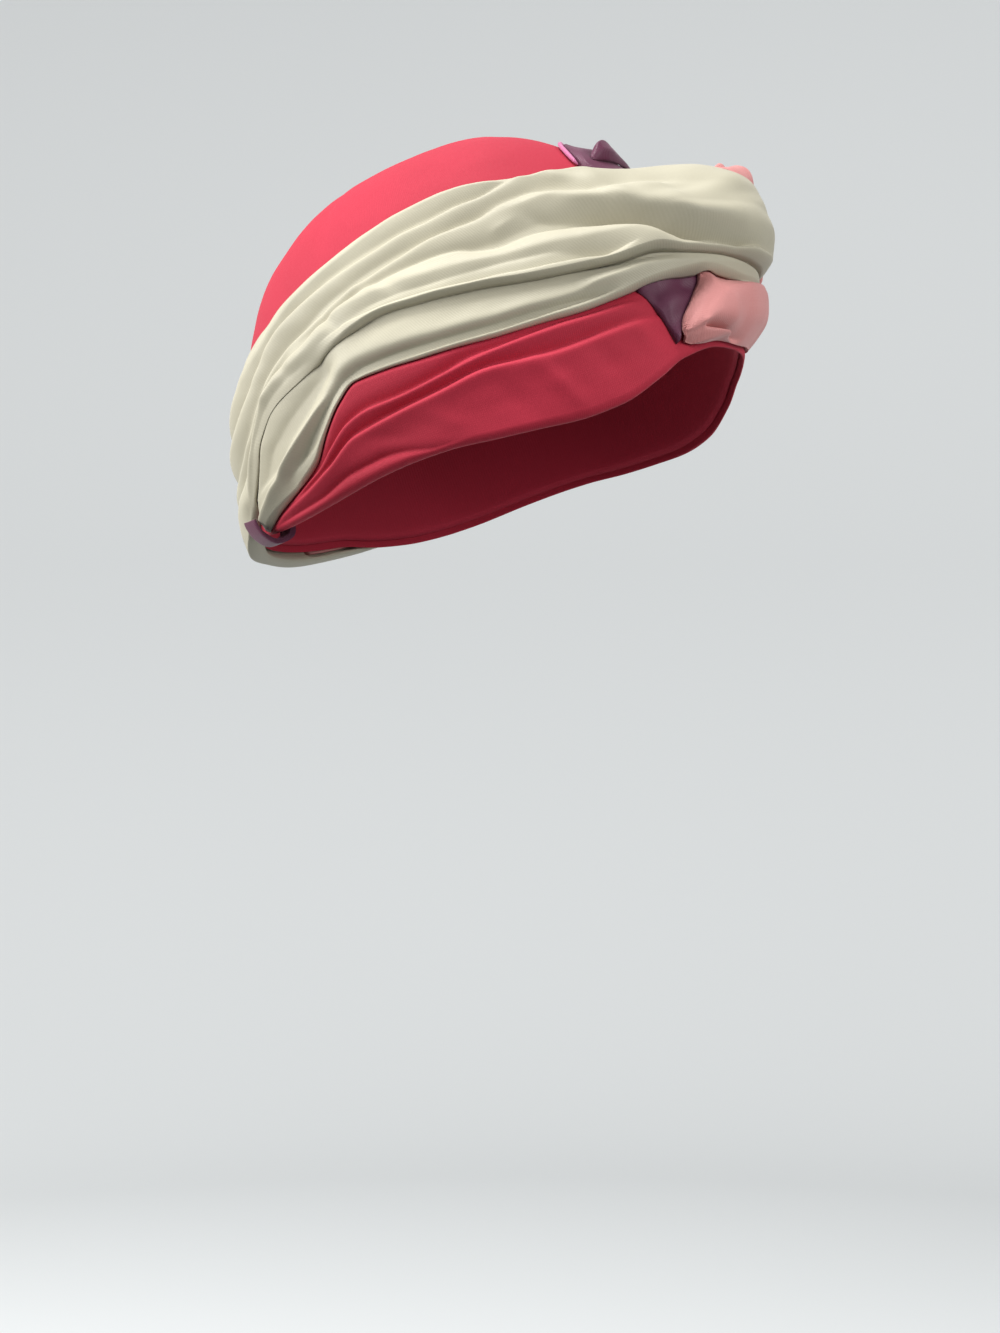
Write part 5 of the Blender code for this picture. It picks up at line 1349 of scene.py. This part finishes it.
class HEADWRAP_OT_nape_loop(bpy.types.Operator):
    """Make the loop that gathers the sash's end at the nape"""

    bl_idname = "headwrap.nape_loop"
    bl_label = "Nape loop"

    def execute(self, context):
        make_finishes()
        make_loop()
        return {"FINISHED"}


class HEADWRAP_OT_studio(bpy.types.Operator):
    """Make the plain studio: a pale floor that curves up into a backdrop, soft lights and the camera"""

    bl_idname = "headwrap.studio"
    bl_label = "Studio"

    def execute(self, context):
        given = context.scene.headwrap_studio
        make_backdrop(given)
        for name, place, size_across in STUDIO_LIGHTS:
            add_area_light(f"{name} light", place, size_across, getattr(given, f"{name}_power"))
        world = bpy.data.worlds.new("studio")
        world.use_nodes = True
        sky = world.node_tree.nodes["Background"]
        sky.inputs["Color"].default_value = (0.94, 0.97, 1.0, 1.0)
        sky.inputs["Strength"].default_value = given.world_light
        context.scene.world = world
        context.scene.view_settings.view_transform = "Standard"
        add_camera(given)
        return {"FINISHED"}


def make_backdrop(given):
    """A floor that curves up into a round wall."""
    flat, reach, bend, height = 0.8, 1.5, 0.7, 3.0
    maker = bmesh.new()
    turn = np.linspace(0.0, 0.5 * np.pi, 17)
    radius = np.concatenate([[0.0, flat], reach + bend * np.sin(turn), [reach + bend]])
    rise = np.concatenate([[0.0, 0.0], bend * (1 - np.cos(turn)), [height]])
    line = [
        bmesh.ops.create_vert(maker, co=(out, 0.0, up - given.floor_drop))["vert"][0]
        for out, up in zip(radius, rise)
    ]
    edges = [maker.edges.new(pair) for pair in zip(line, line[1:])]
    bmesh.ops.spin(
        maker, geom=line + edges, cent=(0, 0, 0), axis=(0, 0, 1), angle=2 * math.pi, steps=96, use_merge=True
    )
    bmesh.ops.remove_doubles(maker, verts=maker.verts, dist=1e-5)
    bmesh.ops.recalc_face_normals(maker, faces=maker.faces)
    bmesh.ops.reverse_faces(maker, faces=maker.faces)
    tree, shader = new_material("studio paint")
    plain = (*given.floor_colour, 1.0)
    lighter = (*(min(1.0, value * 1.04) for value in given.floor_colour), 1.0)
    patch = noise(tree, put(tree, "TexCoord").outputs["Object"], 1.2, 1.0)
    tree.links.new(blended(tree, patch, plain, lighter), shader["Base Color"])
    shader["Roughness"].default_value = 0.9
    shader["Emission Color"].default_value = plain
    shader["Emission Strength"].default_value = given.floor_glow
    floor = linked("studio_floor", maker, bpy.data.materials["studio paint"])
    floor.data.shade_smooth()
    floor.visible_diffuse = False


def aimed(thing, place, target):
    """The camera or a lamp at its place, turned to what it looks at."""
    thing.location = place
    thing.rotation_euler = (Vector(target) - Vector(place)).to_track_quat("-Z", "Y").to_euler()
    bpy.context.scene.collection.objects.link(thing)


def add_area_light(name, place, size_across, power):
    """A soft round lamp that faces the headwrap."""
    light = bpy.data.lights.new(name, "AREA")
    light.shape = "DISK"
    light.size = size_across
    light.energy = power
    aimed(bpy.data.objects.new(name, light), place, (0.0, 0.0, 0.05))


def add_camera(given):
    """The camera at the photographed angle: level, a little in front of the wearer's right side."""
    lens = bpy.data.cameras.new("camera")
    lens.sensor_width = 36.0
    lens.lens = 36.0 * given.camera_distance / given.view_height
    camera = bpy.data.objects.new("camera", lens)
    view = Vector((math.cos(given.camera_turn), math.sin(given.camera_turn), 0.0))
    place = -given.camera_distance * view - Vector((0, 0, given.camera_drop))
    aimed(camera, place, place + view)
    bpy.context.scene.camera = camera


OPERATORS = (
    HEADWRAP_OT_crown_and_band,
    HEADWRAP_OT_roll,
    HEADWRAP_OT_lower_layers,
    HEADWRAP_OT_border,
    HEADWRAP_OT_upper_layers,
    HEADWRAP_OT_nape_loop,
    HEADWRAP_OT_studio,
)


SETTINGS = {
    "headwrap_sizes": HeadwrapSizes,
    "headwrap_colours": HeadwrapColours,
    "headwrap_studio": HeadwrapStudio,
}


class HEADWRAP_PT_panel(bpy.types.Panel):
    """The headwrap's sizes, colours and steps"""

    bl_idname = "HEADWRAP_PT_panel"
    bl_label = "Headwrap"
    bl_space_type = "VIEW_3D"
    bl_region_type = "UI"
    bl_category = "Headwrap"

    def draw(self, context):
        layout = self.layout
        for settings in SETTINGS:
            group, box = getattr(context.scene, settings), layout.box()
            for name in group.bl_rna.properties.keys():
                if name not in ("rna_type", "name"):
                    box.prop(group, name)
        for operator in OPERATORS:
            layout.operator(operator.bl_idname)


CLASSES = (*SETTINGS.values(), *OPERATORS, HEADWRAP_PT_panel)


def register():
    for made in CLASSES:
        bpy.utils.register_class(made)
    for name, group in SETTINGS.items():
        setattr(bpy.types.Scene, name, PointerProperty(type=group))


def unregister():
    for name in SETTINGS:
        delattr(bpy.types.Scene, name)
    for made in reversed(CLASSES):
        bpy.utils.unregister_class(made)


def main():
    register()
    bpy.ops.headwrap.crown_and_band()
    bpy.ops.headwrap.roll()
    bpy.ops.headwrap.lower_layers()
    bpy.ops.headwrap.border()
    bpy.ops.headwrap.upper_layers()
    bpy.ops.headwrap.nape_loop()
    bpy.ops.headwrap.studio()


if __name__ == "__main__":
    main()
